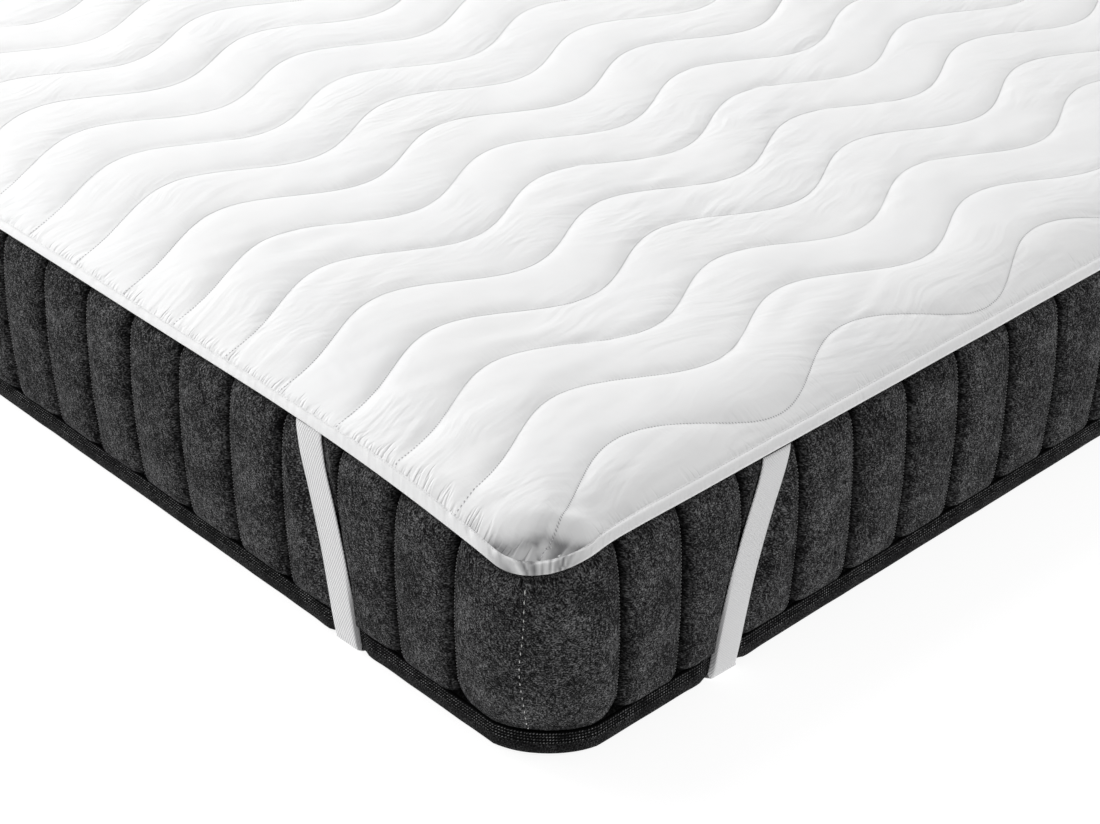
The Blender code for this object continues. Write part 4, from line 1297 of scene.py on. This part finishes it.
def tape_material():
    t = Tree("tape_knit", (0.02, 0.02, 0.021), 0.85)
    t.shader.inputs["Specular IOR Level"].default_value = 0.06
    cloth, run, up = t.uv("cloth")
    base = TAPE_LOW + 0.0098
    pitch = (TAPE_HIGH - base) / 4
    ribbed = t.range(up, base - 0.0003, base + 0.0003, 0, 1)
    row = t.math("FLOOR", t.math("DIVIDE", t.math("SUBTRACT", up, base), pitch))
    shift = t.math("MULTIPLY", row, 0.0005)
    # chain loops along each rib, a plain speckled weave below them
    beat = t.math("SINE", t.math("MULTIPLY", t.math("ADD", run, t.math("ADD", shift, t.math("MULTIPLY", up, 0.7))), 2 * PI / 0.0026))
    rib = t.math("FRACT", t.math("DIVIDE", t.math("SUBTRACT", up, base), pitch))
    crest = t.range(t.math("ABSOLUTE", t.math("SUBTRACT", rib, 0.58)), 0.04, 0.26, 1, 0)
    grain = t.noise(cloth, 620.0, 1.0, 0.6)
    weft = t.math("SINE", t.math("MULTIPLY", t.math("ADD", run, t.math("MULTIPLY", up, 1.0)), 2 * PI / 0.0024))
    warp = t.math("SINE", t.math("MULTIPLY", t.math("SUBTRACT", run, t.math("MULTIPLY", up, 1.5)), 2 * PI / 0.0027))
    flat = t.math("MULTIPLY", t.range(t.math("MULTIPLY", weft, warp), -0.2, 1, 0, 1), 0.50)
    loops = t.math("MULTIPLY", t.range(beat, -0.6, 1, 0, 1), crest)
    knit = t.add("ShaderNodeMix", {0: ribbed, 2: flat, 3: loops}).outputs[0]
    patch = t.range(t.noise(cloth, 55.0, 2.0), 0.35, 0.65, 0.35, 1)
    # the specks are painted glints on the chain loops of the ribs, and lighter flecks in the plain weave below them
    painted_glint_and_speck = t.math("MULTIPLY", t.math("MULTIPLY", knit, patch), t.range(grain, 0.40, 0.64, 0.03, 1))
    t.colour(t.mix(painted_glint_and_speck, (0.003, 0.003, 0.0033), (0.400, 0.400, 0.405)))
    t.bumps((knit, 0.0004, 0.7), (grain, 0.0004, 0.5))
    return t.mat


def floor_material():
    t = Tree("studio_floor", (0.26, 0.26, 0.26), 0.95)
    place = t.place()
    t.colour(t.mix(t.range(t.noise(place, 0.7, 2.0), 0.3, 0.7, 0, 1), (0.255, 0.255, 0.255), (0.265, 0.265, 0.265)))
    t.shader.inputs["Emission Color"].default_value = (1, 1, 1, 1)
    t.shader.inputs["Emission Strength"].default_value = 0.88
    t.shader.inputs["Specular IOR Level"].default_value = 0.0
    return t.mat


# ------------------------------------------------------------ build
pad_cloth = pad_material()
bind_cloth = binding_material()
elastic_cloth = elastic_material()
marl = mattress_material()
knit = tape_material()
white_thread = thread_material("white_thread", (0.84, 0.84, 0.84), (0.66, 0.66, 0.67))
grey_thread = thread_material("grey_thread", (0.30, 0.30, 0.30), (0.12, 0.12, 0.12))
pale_thread = thread_material("pale_thread", (0.80, 0.80, 0.78), (0.58, 0.58, 0.57))

quilt = build_pad(pad_cloth)
quilt_thread = build_quilt_stitches(white_thread)
binding, binding_run = build_binding(bind_cloth)
binding_thread = build_binding_stitches(white_thread)
mattress = build_mattress(marl)
seam_thread, dash_thread = build_side_stitches(grey_thread, pale_thread)
tape = build_tape(knit)
bands = {}
for name, sx, sy in (("front_right", 1, -1), ("front_left", -1, -1),
                     ("back_right", 1, 1), ("back_left", -1, 1)):
    band, band_run = build_band("elastic_" + name, sx, sy, elastic_cloth)
    bands[name] = band
    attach(band, "root")
    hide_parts("corner_elastic_" + name)

for piece, node, slot in ((quilt, "quilted_pad", "pad_cloth"),
                          (binding, "edge_binding", "binding_cloth"),
                          (mattress, "mattress_body", "mattress_cloth"),
                          (tape, "mattress_tape", "tape_cloth")):
    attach(piece, "root")
    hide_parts(node)
for piece, slot in ((quilt_thread, "pad_cloth"), (binding_thread, "binding_cloth"),
                    (seam_thread, "mattress_cloth"), (dash_thread, "mattress_cloth")):
    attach(piece, "root")

# ------------------------------------------------------------ stage
floor_mesh = bpy.data.meshes.new("floor")
floor_mesh.from_pydata([(-14, -14, -0.0002), (14, -14, -0.0002), (14, 14, -0.0002), (-14, 14, -0.0002)],
                       [], [(0, 1, 2, 3)])
floor_mesh.materials.append(floor_material())
floor = bpy.data.objects.new("floor", floor_mesh)
bpy.context.scene.collection.objects.link(floor)

world = bpy.data.worlds.new("studio")
bpy.context.scene.world = world
world.use_nodes = True
back = world.node_tree.nodes["Background"]
back.inputs[0].default_value = (1, 1, 1, 1)
back.inputs[1].default_value = 0.40


def area(name, at, aim, size, power):
    data = bpy.data.lights.new(name, "AREA")
    data.shape = "RECTANGLE"
    data.size, data.size_y = size
    data.energy = power
    ob = bpy.data.objects.new(name, data)
    ob.location = at
    ob.rotation_euler = (Vector(aim) - Vector(at)).to_track_quat("-Z", "Y").to_euler()
    bpy.context.scene.collection.objects.link(ob)
    return ob


area("key", (-2.7, -0.9, 3.8), (0.1, -0.3, 0.15), (3.2, 3.2), 170)
area("left_strip", (-2.9, -2.7, 0.9), (0.2, -0.9, 0.1), (1.2, 2.0), 48)
area("right_strip", (2.9, 2.6, 0.9), (0.65, -0.2, 0.1), (1.2, 2.0), 45)

cam_data = bpy.data.cameras.new("camera")
cam_data.lens = 83.10
cam_data.sensor_width = 36.0
cam_data.sensor_fit = "HORIZONTAL"
cam_data.clip_start, cam_data.clip_end = 0.02, 100
camera = bpy.data.objects.new("camera", cam_data)
camera.location = (1.77103, -1.99703, TOP + STITCH + 1.05289)
heading = Vector((-0.7298 * 0.8425, 0.6836 * 0.8425, -0.5388))
camera.rotation_euler = heading.to_track_quat("-Z", "Y").to_euler()
bpy.context.scene.collection.objects.link(camera)
bpy.context.scene.camera = camera
bpy.context.scene.view_settings.view_transform = "Standard"
